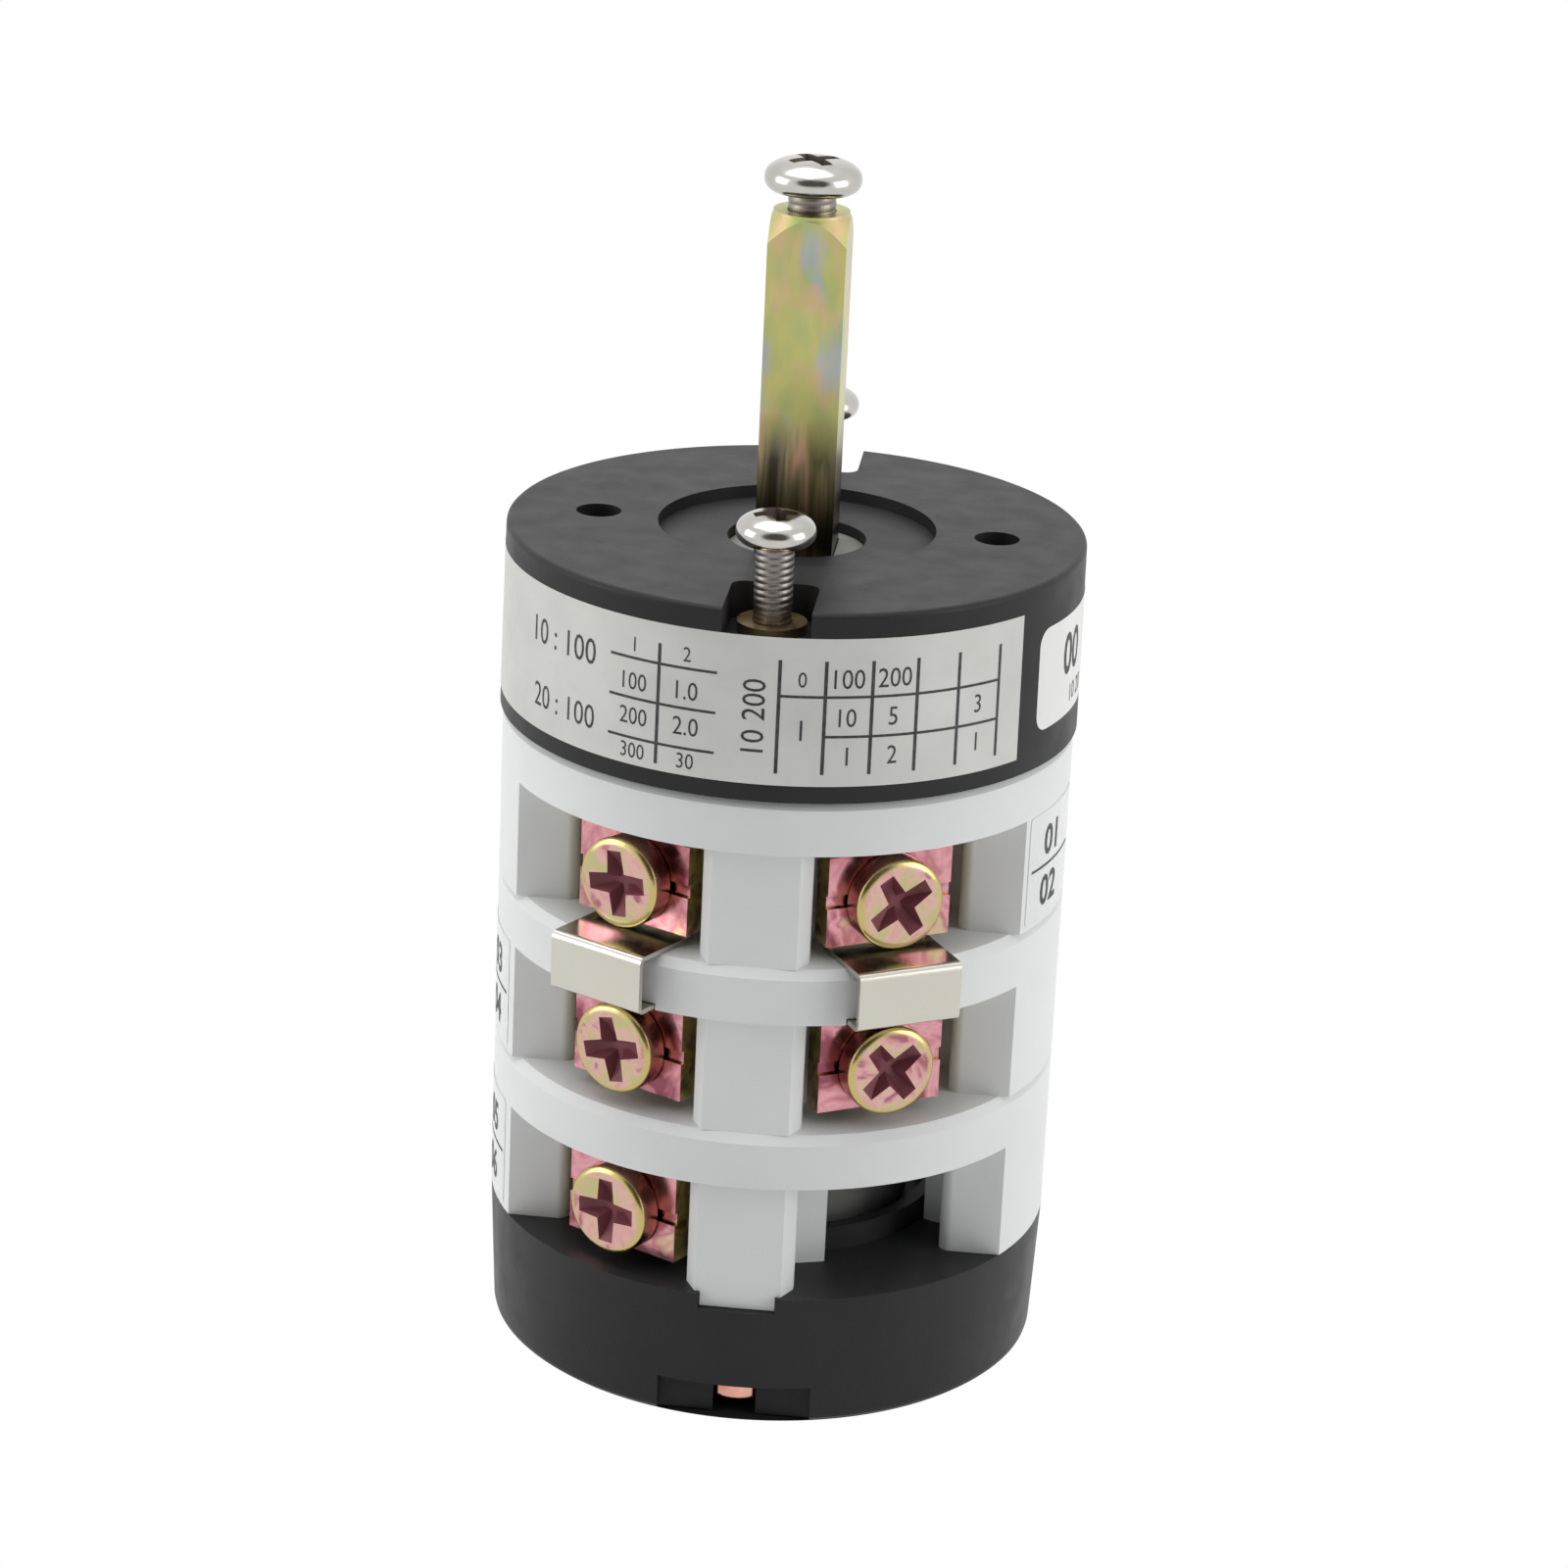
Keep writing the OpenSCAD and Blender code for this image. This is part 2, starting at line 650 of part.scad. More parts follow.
module square_hole(height) {
    translate([-square_bore / 2, -square_bore / 2, -overrun])
        cube([square_bore, square_bore, height + 2 * overrun]);
}

// Open ring that snaps into the groove at the shaft's foot
module retaining_clip() {
    color(spring_steel) translate([0, 0, clip_z]) difference() {
        cylinder(r = clip_r, h = clip_t);
        translate([0, 0, -overrun]) cylinder(r = clip_groove_r + screw_fit, h = clip_t + 2 * overrun);
        translate([0, -clip_gap / 2, -overrun]) cube([clip_r + overrun, clip_gap, clip_t + 2 * overrun]);
    }
}

module handle_screw() {
    seat_z = shaft_top_z + handle_out;
    shank = handle_len - seat_gap;
    color(nickel) {
        translate([0, 0, seat_z]) screw_head(handle_head, handle_head_h, pan_side_share, pan_flat_share);
        translate([0, 0, shaft_top_z - shank + handle_out]) cylinder(r = handle_m / 2, h = shank);
    }
}

module mounting_screw() {
    seat_z = top_z + mount_out;
    color(nickel) translate([0, -bolt_y, 0]) {
        translate([0, 0, seat_z]) screw_head(mount_head, mount_head_h, pan_side_share, pan_flat_share);
        translate([0, 0, seat_z - mount_len]) cylinder(r = bolt_r, h = mount_len);
    }
}

module mounting_screw_front() {
    mounting_screw();
}

module mounting_screw_rear() {
    mirror([0, 1, 0]) mounting_screw();
}

// Threaded sleeve: the tie bolt screws in from below and the mounting screw from above
module sleeve_nut() {
    color(yellow_zinc) translate([0, -bolt_y, 0]) difference() {
        union() {
            translate([0, 0, sleeve_foot_z]) cylinder(d = sleeve_d, h = notch_z - sleeve_foot_z + seat_gap);
            translate([0, 0, notch_z + seat_gap]) cylinder(d = sleeve_flange_d, h = sleeve_flange_t);
        }
        translate([0, 0, sleeve_foot_z - overrun]) cylinder(r = bolt_r + screw_fit, h = housing_h);
    }
}

module sleeve_nut_front() {
    sleeve_nut();
}

module sleeve_nut_rear() {
    mirror([0, 1, 0]) sleeve_nut();
}

// Tie bolt, head down in the base, threaded into the lower part of the sleeve nut
module tie_bolt() {
    engaged_share = 0.4;
    seat_z = bolt_head_z + bolt_head_h;
    end_z = sleeve_foot_z + (notch_z - sleeve_foot_z) * engaged_share;
    color(yellow_zinc) translate([0, -bolt_y, 0]) {
        translate([0, 0, seat_z]) mirror([0, 0, 1])
            screw_head(bolt_head, bolt_head_h, cheese_side_share, cheese_flat_share);
        translate([0, 0, seat_z]) cylinder(r = bolt_r, h = end_z - seat_z);
    }
}

module tie_bolt_front() {
    tie_bolt();
}

module tie_bolt_rear() {
    mirror([0, 1, 0]) tie_bolt();
}

// Washer under the lowest rotor
module thrust_washer() {
    height = washer_recess - turn_gap;
    color(spring_steel) translate([0, 0, base_h - washer_recess]) difference() {
        cylinder(r = hub_r, h = height);
        translate([0, 0, -overrun]) cylinder(r = shaft_foot_r + pass_fit, h = height + 2 * overrun);
    }
}

// Eight-sided cam between the detent springs, with a round hub above
module index_cam() {
    height = recess_z - cam_hub_drop - cam_z;
    color(pale_plastic) translate([0, 0, cam_z]) difference() {
        union() {
            rotate(360 / 16) cylinder(r = cam_af / 2 / cos(360 / 16), h = cam_h, $fn = 8);
            cylinder(r = cam_hub_r, h = height);
        }
        square_hole(height);
    }
}

// Disc with one lug, which swings between the housing's stop ribs
module stop_plate() {
    color(spring_steel) translate([0, 0, stop_z]) difference() {
        union() {
            cylinder(r = stop_r, h = stop_t);
            rotate(90) ring_part(shaft_af, stop_lug_r, -stop_lug_a, stop_lug_a, stop_t);
        }
        square_hole(stop_t);
    }
}

module detent_spring() {
    color(spring_steel) translate([-leaf_len / 2, -leaf_y - leaf_t, leaf_top_z - leaf_h])
        cube([leaf_len, leaf_t, leaf_h]);
}

module detent_spring_front() {
    detent_spring();
}

module detent_spring_rear() {
    mirror([0, 1, 0]) detent_spring();
}

// Tips and arcs of the bridge contacts, as angles in the middle position
upper_bridges = [135, 315];
middle_bridges = [225, 45];
lower_tips = [180 - turn - bridge_a, 180, 180 + turn + bridge_a];

// Rotor: a moulded disc on a hub, grooved round its edge where the bridges lie
module rotor(grooves) {
    color(rotor_plastic) difference() {
        union() {
            cylinder(r = hub_r, h = deck_h - turn_gap);
            translate([0, 0, rotor_disc_z]) cylinder(r = rotor_r, h = rotor_disc_top - rotor_disc_z);
        }
        square_hole(deck_h);
        for (g = grooves) translate([0, 0, bridge_z + bridge_h / 2 - groove_h / 2])
            ring_part(groove_r, rotor_r + overrun, g[0], g[1], groove_h);
    }
}

end_gap_a = asin(turn_gap / bridge_arc_r);
function groove_for(middle) = [middle - bridge_a - tip_a - end_gap_a, middle + bridge_a + tip_a + end_gap_a];

module rotor_lower() {
    translate([0, 0, lower_z])
        rotor([[lower_tips[0] - tip_a - end_gap_a, lower_tips[2] + tip_a + end_gap_a]]);
}

module rotor_middle() {
    translate([0, 0, middle_z]) rotor([for (b = middle_bridges) groove_for(b)]);
}

module rotor_upper() {
    translate([0, 0, upper_z]) rotor([for (b = upper_bridges) groove_for(b)]);
}

// Bridge contact: an arc of strip with raised tips, the middle one of three twice as wide
module bridge(tips) {
    last = len(tips) - 1;
    inner = bridge_arc_r - bridge_t;
    tip_share = 0.8;
    color(copper) translate([0, 0, bridge_z]) {
        ring_part(inner, bridge_arc_r, tips[0] - tip_a, tips[last] + tip_a, bridge_h);
        for (i = [0 : last]) {
            half = i > 0 && i < last ? 2 * tip_a : tip_a * tip_share;
            ring_part(inner + bridge_t / 2, bridge_r, tips[i] - half, tips[i] + half, bridge_h);
        }
    }
}

module bridge_lower() {
    translate([0, 0, lower_z]) bridge(lower_tips);
}

module bridge_middle_left() {
    translate([0, 0, middle_z]) bridge([middle_bridges[0] - bridge_a, middle_bridges[0] + bridge_a]);
}

module bridge_middle_right() {
    translate([0, 0, middle_z]) bridge([middle_bridges[1] - bridge_a, middle_bridges[1] + bridge_a]);
}

module bridge_upper_left() {
    translate([0, 0, upper_z]) bridge([upper_bridges[0] - bridge_a, upper_bridges[0] + bridge_a]);
}

module bridge_upper_right() {
    translate([0, 0, upper_z]) bridge([upper_bridges[1] - bridge_a, upper_bridges[1] + bridge_a]);
}

// Bowed leaf spring that presses a bridge outward
module bridge_spring(middle) {
    offset_x = groove_r + seat_gap - bridge_spring_r;
    color(spring_steel) rotate(middle) translate([offset_x, 0, bridge_z])
        ring_part(bridge_spring_r, bridge_spring_r + bridge_spring_t, -bridge_spring_a, bridge_spring_a, bridge_h);
}

module bridge_spring_lower() {
    translate([0, 0, lower_z]) for (a = [180 - bridge_a, 180 + bridge_a]) bridge_spring(a);
}

module bridge_spring_middle() {
    translate([0, 0, middle_z]) for (a = middle_bridges) bridge_spring(a);
}

module bridge_spring_upper() {
    translate([0, 0, upper_z]) for (a = upper_bridges) bridge_spring(a);
}

// Fixed contact: the tab behind the clamp plate, the blade through the window and the face
module fixed_contact() {
    inner_d = contact_r - contact_t / 2;
    blade_d = contact_r + contact_t / 2;
    tab_back = tab_d - strip_t;
    color(copper) difference() {
        terminal_line() {
            translate([tab_back, -tab_w / 2, blade_z]) cube([strip_t, tab_w, tab_top - blade_z]);
            translate([blade_d, blade_shift - blade_w / 2, blade_z]) cube([tab_d - blade_d, blade_w, strip_t]);
            translate([inner_d, blade_shift - contact_w / 2, blade_z])
                cube([contact_t * 3 / 2, contact_w, contact_h]);
        }
        cylinder(r = contact_r, h = deck_h);
        terminal_line() translate([clamp_d - terminal_len, 0, terminal_z]) rotate([0, 90, 0])
            cylinder(r = terminal_m / 2 + screw_fit, h = terminal_len);
    }
}

module contact_at(level, left, rear) {
    translate([0, 0, level]) quarter(left, rear) fixed_contact();
}

// Clamp plate: a square saddle with turned-in sides and a groove across its face
module clamp_plate() {
    low_z = terminal_z - clamp_h / 2;
    color(yellow_zinc) terminal_line() difference() {
        translate([clamp_d - clamp_flange, -clamp_w / 2, low_z]) cube([clamp_flange, clamp_w, clamp_h]);
        translate([clamp_d - clamp_flange - overrun, clamp_t - clamp_w / 2, low_z - overrun])
            cube([clamp_flange - clamp_t + overrun, clamp_w - 2 * clamp_t, clamp_h + 2 * overrun]);
        translate([clamp_d - clamp_groove, -clamp_w / 2 - overrun, terminal_z - clamp_groove_w / 2])
            cube([clamp_groove + overrun, clamp_w + 2 * overrun, clamp_groove_w]);
        translate([clamp_d - clamp_flange, 0, terminal_z]) rotate([0, 90, 0])
            cylinder(r = terminal_m / 2 + pass_fit, h = clamp_flange + overrun);
    }
}

module terminal_screw() {
    color(yellow_zinc) terminal_line() translate([clamp_d + seat_gap, 0, terminal_z]) rotate([0, 90, 0]) {
        screw_head(terminal_head, terminal_head_h, cheese_side_share, cheese_flat_share);
        translate([0, 0, -terminal_len]) cylinder(d = terminal_m, h = terminal_len);
    }
}

// Quarters that hold a terminal, as [left, rear]; the lowest deck has only its left pair
all_quarters = [[false, false], [true, false], [false, true], [true, true]];
left_quarters = [[true, false], [true, true]];

module at_terminals(level, quarters) {
    translate([0, 0, level]) for (q = quarters) quarter(q[0], q[1]) children();
}

module clamp_plates_lower() {
    at_terminals(lower_z, left_quarters) clamp_plate();
}

module clamp_plates_middle() {
    at_terminals(middle_z, all_quarters) clamp_plate();
}

module clamp_plates_upper() {
    at_terminals(upper_z, all_quarters) clamp_plate();
}

module terminal_screws_lower() {
    at_terminals(lower_z, left_quarters) terminal_screw();
}

module terminal_screws_middle() {
    at_terminals(middle_z, all_quarters) terminal_screw();
}

module terminal_screws_upper() {
    at_terminals(upper_z, all_quarters) terminal_screw();
}

// Outline of a link's web and legs, seen along its width, with rounded outer bends
module link_profile() {
    top = link_t + seat_gap;
    foot = seat_gap - flange_t;
    inner = tab_d + seat_gap;
    difference() {
        union() {
            translate([inner, foot + link_bend]) square([link_d - inner, top - foot - 2 * link_bend]);
            translate([inner, foot]) square([link_d - link_bend - inner, top - foot]);
            for (z = [foot + link_bend, top - link_bend]) translate([link_d - link_bend, z])
                circle(r = link_bend, $fn = faces);
        }
        translate([inner - overrun, foot + link_t]) square([link_d - link_t - inner + overrun, top - foot - 2 * link_t]);
    }
}

// Jumper link: joins the upper and middle decks' front terminals round the middle flange
module jumper_link() {
    slot_r = terminal_m / 2 + pass_fit;
    low_z = terminal_z - deck_h;
    fork_x = tab_d + seat_gap;
    color(nickel) translate([0, 0, upper_z]) terminal_line() difference() {
        union() {
            translate([0, link_w / 2, 0]) rotate([90, 0, 0]) linear_extrude(link_w) link_profile();
            translate([fork_x, -fork_w / 2, seat_gap]) cube([link_t, fork_w, link_fork]);
            translate([fork_x, -fork_w / 2, seat_gap + link_t - flange_t - link_fork]) cube([link_t, fork_w, link_fork]);
        }
        for (z = [terminal_z, low_z]) translate([tab_d, 0, z]) rotate([0, 90, 0])
            cylinder(r = slot_r, h = link_t + 2 * seat_gap);
        translate([tab_d, -slot_r, terminal_z]) cube([link_t + 2 * seat_gap, 2 * slot_r, link_fork]);
        translate([tab_d, -slot_r, low_z - link_fork]) cube([link_t + 2 * seat_gap, 2 * slot_r, link_fork]);
    }
}

module jumper_link_right() {
    jumper_link();
}

module jumper_link_left() {
    mirror([1, 0, 0]) jumper_link();
}

base();
deck_lower();
deck_middle();
deck_upper();
detent_housing();
square_shaft();
retaining_clip();
handle_screw();
mounting_screw_front();
mounting_screw_rear();
sleeve_nut_front();
sleeve_nut_rear();
tie_bolt_front();
tie_bolt_rear();
thrust_washer();
index_cam();
stop_plate();
detent_spring_front();
detent_spring_rear();
rotor_lower();
rotor_middle();
rotor_upper();
bridge_lower();
bridge_middle_left();
bridge_middle_right();
bridge_upper_left();
bridge_upper_right();
bridge_spring_lower();
bridge_spring_middle();
bridge_spring_upper();
jumper_link_left();
jumper_link_right();
contact_at(lower_z, true, false);  // contact_lower_front_left
contact_at(lower_z, true, true);  // contact_lower_rear_left
contact_at(middle_z, true, false);  // contact_middle_front_left
contact_at(middle_z, false, false);  // contact_middle_front_right
contact_at(middle_z, true, true);  // contact_middle_rear_left
contact_at(middle_z, false, true);  // contact_middle_rear_right
contact_at(upper_z, true, false);  // contact_upper_front_left
contact_at(upper_z, false, false);  // contact_upper_front_right
contact_at(upper_z, true, true);  // contact_upper_rear_left
contact_at(upper_z, false, true);  // contact_upper_rear_right
clamp_plates_lower();
clamp_plates_middle();
clamp_plates_upper();
terminal_screws_lower();
terminal_screws_middle();
terminal_screws_upper();
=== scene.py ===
"""Looks of the reversing drum switch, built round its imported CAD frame.

+Z is up and -Y is the front. Blender works in metres. Screws, labels and stickers are drawn in
millimetres, and MM turns those into metres. The scale of a noise is in features a metre.
"""
import math

import bmesh
import bpy
from mathutils import Matrix, Vector


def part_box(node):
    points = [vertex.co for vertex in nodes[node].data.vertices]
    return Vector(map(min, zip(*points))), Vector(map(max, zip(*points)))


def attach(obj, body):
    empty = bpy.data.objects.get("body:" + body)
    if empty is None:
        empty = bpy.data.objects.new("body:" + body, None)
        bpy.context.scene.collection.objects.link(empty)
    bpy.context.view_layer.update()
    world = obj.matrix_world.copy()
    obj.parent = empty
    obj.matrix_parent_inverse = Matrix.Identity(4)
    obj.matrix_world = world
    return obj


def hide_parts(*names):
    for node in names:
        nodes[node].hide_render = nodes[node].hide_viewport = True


MM = 0.001

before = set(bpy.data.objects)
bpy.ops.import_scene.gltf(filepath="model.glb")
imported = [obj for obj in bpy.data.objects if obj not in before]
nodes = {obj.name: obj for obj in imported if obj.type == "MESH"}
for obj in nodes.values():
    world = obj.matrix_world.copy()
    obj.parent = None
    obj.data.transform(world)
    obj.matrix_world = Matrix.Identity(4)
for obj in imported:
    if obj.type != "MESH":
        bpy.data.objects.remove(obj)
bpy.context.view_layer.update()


def box_mm(node):
    """A node's lowest and highest corners in millimetres, to the nearest micron."""
    return [[round(value / MM, 3) for value in corner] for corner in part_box(node)]


# Shader helpers

def add(tree, kind, inputs=None, **settings):
    """Adds a shader node; an input is a value or another node's socket."""
    made = tree.nodes.new(kind)
    for key, value in settings.items():
        setattr(made, key, value)
    for key, value in (inputs or {}).items():
        if isinstance(value, bpy.types.NodeSocket):
            tree.links.new(value, made.inputs[key])
        else:
            made.inputs[key].default_value = value
    return made


def maths(tree, operation, *values):
    """The result of a maths node."""
    return add(tree, "ShaderNodeMath", dict(enumerate(values)), operation=operation).outputs[0]


def object_place(tree):
    return add(tree, "ShaderNodeTexCoord").outputs["Object"]


def split(tree, vector):
    """The X, Y and Z outputs of a vector."""
    return add(tree, "ShaderNodeSeparateXYZ", {"Vector": vector}).outputs


def mesh_value(tree, name):
    """A value that is stored on the mesh."""
    return add(tree, "ShaderNodeAttribute", attribute_name=name).outputs["Fac"]


def noise(tree, scale, detail=3.0, distortion=0.0, stretch=(1, 1, 1)):
    """Noise in the object's own coordinates."""
    scaled = add(tree, "ShaderNodeMapping", {"Vector": object_place(tree), "Scale": stretch})
    return add(tree, "ShaderNodeTexNoise", {"Vector": scaled.outputs["Vector"], "Scale": scale,
        "Detail": detail, "Distortion": distortion}).outputs["Fac"]


def ramp(tree, fac, stops):
    """A colour that goes through (position, colour) stops."""
    made = add(tree, "ShaderNodeValToRGB", {"Fac": fac})
    points = made.color_ramp.elements
    while len(points) < len(stops):
        points.new(0.5)
    for point, (position, colour) in zip(points, stops):
        point.position = position
        point.color = (*colour, 1.0)
    return made.outputs["Color"]


def step(tree, fac, start, end, top=(1, 1, 1)):
    """Rises from black at start to a colour at end."""
    return ramp(tree, fac, [(start, (0, 0, 0)), (end, top)])


def mix(tree, fac, a, b, blend="MIX"):
    """Mixes two colours; fac, a and b are values or sockets."""
    made = add(tree, "ShaderNodeMix", data_type="RGBA", blend_type=blend)
    for socket, value in ((made.inputs[0], fac), (made.inputs[6], a), (made.inputs[7], b)):
        if isinstance(value, bpy.types.NodeSocket):
            tree.links.new(value, socket)
        else:
            socket.default_value = value if isinstance(value, float) else (*value, 1.0)
    return made.outputs[2]


def spread(tree, value, low, high, source=(0.3, 0.7)):
    """Maps a value from its source range, by default most of a noise's range, to low to high."""
    return add(tree, "ShaderNodeMapRange", {"Value": value, "From Min": source[0],
        "From Max": source[1], "To Min": low, "To Max": high}).outputs["Result"]


def bump(tree, height, strength, distance):
    return add(tree, "ShaderNodeBump", {"Height": height, "Strength": strength,
        "Distance": distance}).outputs["Normal"]


def new_material(name):
    material = bpy.data.materials.new(name)
    material.use_nodes = True
    material.node_tree.nodes.clear()
    return material, material.node_tree


def finish_surface(material, tree, colour, rough, relief=None, **sockets):
    """Ends a material with its surface shader; sockets are other inputs, as Socket_Name."""
    inputs = {name.replace("_", " "): value for name, value in sockets.items()}
    inputs.update({"Base Color": colour, "Roughness": rough})
    if relief is not None:
        inputs["Normal"] = relief
    shader = add(tree, "ShaderNodeBsdfPrincipled", inputs)
    add(tree, "ShaderNodeOutputMaterial", {"Surface": shader.outputs["BSDF"]})
    return material


# Materials

GOLD = (0.62, 0.50, 0.18)
PINK = (0.689, 0.336, 0.37)
RECESS_SHADE_MAROON = (0.20, 0.05, 0.065)
SCREW_GRAIN = {"scale": 3000, "detail": 3}
SCREW_GLOSS = {"scale": 900, "detail": 3}


def between(dark, light):
    """Stops for a noise that wanders between two colours."""
    return [(0.3, dark), (0.7, light)]


def mottled(name, stops, rough, clouds, gloss, grain, strength, depth, **sockets):
    """A surface with uneven colour, uneven gloss and a fine grain, each from its own noise.

    rough is the lowest and the highest roughness. clouds, gloss and grain are settings of
    noise(), and strength and depth are those of the grain.
    """
    material, tree = new_material(name)
    return finish_surface(material, tree, ramp(tree, noise(tree, **clouds), stops),
        spread(tree, noise(tree, **gloss), *rough),
        bump(tree, noise(tree, **grain), strength, depth), **sockets)


def plastic(name, dark, light, rough, grain, shine=0.5):
    """Moulded plastic with a fine spark-eroded grain."""
    return mottled(name, between(dark, light), (rough - 0.05, rough + 0.06),
        {"scale": 90, "detail": 4}, {"scale": 260, "detail": 3}, {"scale": 5200, "detail": 2},
        grain, 0.06 * MM, Specular_IOR_Level=shine)


def metal(name, stops, rough, scale=220, grain=0.12):
    """Plated or bare metal whose colour wanders."""
    return mottled(name, stops, (rough - 0.03, rough + 0.05),
        {"scale": scale, "detail": 4, "distortion": 0.6},
        {"scale": 400, "detail": 2}, {"scale": 3600, "detail": 1}, grain, 0.03 * MM, Metallic=1.0)


def label_stock(name, dark, light, rough, metallic):
    """Foil or film that a label is made of."""
    return mottled(name, between(dark, light), (rough - 0.05, rough + 0.08),
        {"scale": 120, "detail": 4, "distortion": 0.3},
        {"scale": 500, "detail": 3}, {"scale": 2600, "detail": 3}, 0.1, 0.03 * MM,
        Metallic=metallic)


def print_ink():
    return mottled("print_ink", between((0.012, 0.012, 0.013), (0.05, 0.05, 0.052)),
        (0.45, 0.6), {"scale": 1500, "detail": 3}, {"scale": 600, "detail": 2},
        {"scale": 4000, "detail": 2}, 0.1, 0.02 * MM)


def clamp_metal():
    """Passivated clamp plate: pink and rose on its outward faces, with dark patches there that
    paint reflections, gold and dark on its edges.
    """
    material, tree = new_material("clamp_passivate")
    # The darkest stop paints dark reflections on the plates; the pink and rose stops are the
    # plating's own colour
    faces = ramp(tree, noise(tree, scale=170, detail=3, distortion=0.8), [
        (0.38, (0.252, 0.076, 0.101)), (0.45, (0.521, 0.202, 0.235)), (0.52, PINK),
        (0.60, (0.47, 0.176, 0.21)), (0.70, (0.588, 0.437, 0.286))])
    edges = ramp(tree, noise(tree, scale=300, detail=3, distortion=0.6), [
        (0.35, (0.252, 0.202, 0.067)), (0.5, GOLD), (0.65, (0.286, 0.151, 0.101))])
    # The terminals look 30 degrees to either side of the front and rear lines
    sine, cosine = 0.5, 0.866
    way = split(tree, add(tree, "ShaderNodeTexCoord").outputs["Normal"])
    across = maths(tree, "ABSOLUTE", way["X"])
    along = maths(tree, "ABSOLUTE", way["Y"])
    outward = maths(tree, "MULTIPLY_ADD", along, cosine,
        maths(tree, "MULTIPLY", across, sine))
    colour = mix(tree, step(tree, outward, 0.92, 0.97), edges, faces)
    gloss = spread(tree, noise(tree, scale=700, detail=3), 0.13, 0.24)
    relief = bump(tree, noise(tree, scale=1800, detail=3), 0.08, 0.05 * MM)
    return finish_surface(material, tree, colour, gloss, relief, Metallic=1.0)


def shaft_metal():
    """Passivated bar: gold and olive with orange and lilac clouds, dark streaks at its foot, and
    painted shade where it meets the housing.
    """
    material, tree = new_material("shaft_passivate")
    olive = ramp(tree, noise(tree, scale=240, detail=4, distortion=0.3, stretch=(1, 1, 0.4)), [
        (0.32, (0.35, 0.41, 0.17)), (0.5, (0.48, 0.46, 0.17)), (0.68, (0.39, 0.43, 0.18))])
    lilac = noise(tree, scale=310, detail=3, distortion=0.2, stretch=(1, 1, 0.35))
    lilac = step(tree, lilac, 0.53, 0.68, (0.525, 0.578, 0.615))
    orange = noise(tree, scale=270, detail=3, distortion=0.2, stretch=(1, 1, 0.5))
    orange = step(tree, orange, 0.50, 0.64, (0.595, 0.654, 0.697))
    clouds = mix(tree, lilac, olive, (0.364, 0.385, 0.541))
    clouds = mix(tree, orange, clouds, (0.602, 0.385, 0.246))
    streaks = ramp(tree, noise(tree, scale=360, detail=3, distortion=0.1, stretch=(1, 1, 0.1)), [
        (0.34, (0.055, 0.046, 0.03)), (0.44, (0.248, 0.184, 0.12)), (0.50, (0.129, 0.138, 0.06)),
        (0.56, (0.331, 0.258, 0.14)), (0.61, (0.754, 0.405, 0.29)), (0.70, (0.35, 0.368, 0.16))])
    # The heights over which streaks replace the clouds, and over which painted shade darkens the
    # bar towards the housing
    streak_heights, housing_shade_heights = (0.0965, 0.1015), (0.089, 0.097)
    height = split(tree, object_place(tree))["Z"]
    low = spread(tree, height, 0.95, 0.0, streak_heights)
    # Painted shade: the bar is darkened where it rises out of the housing
    foot = spread(tree, height, 0.2, 1.2, housing_shade_heights)
    colour = mix(tree, 1.0, mix(tree, low, clouds, streaks), foot, "MULTIPLY")
    gloss = spread(tree, noise(tree, scale=180, detail=2), 0.29, 0.38)
    return finish_surface(material, tree, colour, gloss, Metallic=1.0)


def screw_metal():
    """Passivated screw: gold rim, pink face with painted dark reflections, and a recess painted
    dark maroon as shade, which is also duller.
    """
    material, tree = new_material("screw_passivate")
    radial, deep = mesh_value(tree, "radial"), mesh_value(tree, "deep")
    # The darkest stop paints dark patches that stand in for reflections on the heads; the other
    # stops are the plating's own pink and gold
    clouds = ramp(tree, noise(tree, scale=300, detail=3, distortion=0.8), [
        (0.33, (0.353, 0.143, 0.16)), (0.41, (0.638, 0.336, 0.336)),
        (0.50, (0.655, 0.42, 0.353)), (0.62, (0.521, 0.454, 0.235))])
    face = mix(tree, step(tree, radial, 0.82, 0.92), clouds, (0.538, 0.445, 0.168))
    face = mix(tree, step(tree, radial, 0.985, 0.997), face, (0.37, 0.185, 0.134))
    rough = maths(tree, "MULTIPLY_ADD", deep, 0.3,
        spread(tree, noise(tree, **SCREW_GLOSS), 0.18, 0.30))
    # Painted shade: the recess is coloured dark maroon and made less metallic; it is also rougher
    return finish_surface(material, tree, mix(tree, deep, face, RECESS_SHADE_MAROON), rough,
        bump(tree, noise(tree, **SCREW_GRAIN), 0.10, 0.05 * MM),
        Metallic=spread(tree, deep, 1.0, 0.15, (0.0, 1.0)))


def nickel_screw_metal():
    """Bright screw, with shade painted dark in its recess and on its thread, which are also duller.
    """
    material, tree = new_material("screw_nickel")
    deep = mesh_value(tree, "deep")
    clouds = ramp(tree, noise(tree, scale=300, detail=3),
        between((0.471, 0.456, 0.426), (0.578, 0.555, 0.524)))
    rough = maths(tree, "MULTIPLY_ADD", deep, 0.35,
        spread(tree, noise(tree, **SCREW_GLOSS), 0.14, 0.24))
    # Painted shade: the recess and the thread are coloured dark brown; they are also rougher
    return finish_surface(material, tree, mix(tree, deep, clouds, (0.10, 0.075, 0.065)), rough,
        bump(tree, noise(tree, **SCREW_GRAIN), 0.08, 0.05 * MM), Metallic=1.0)


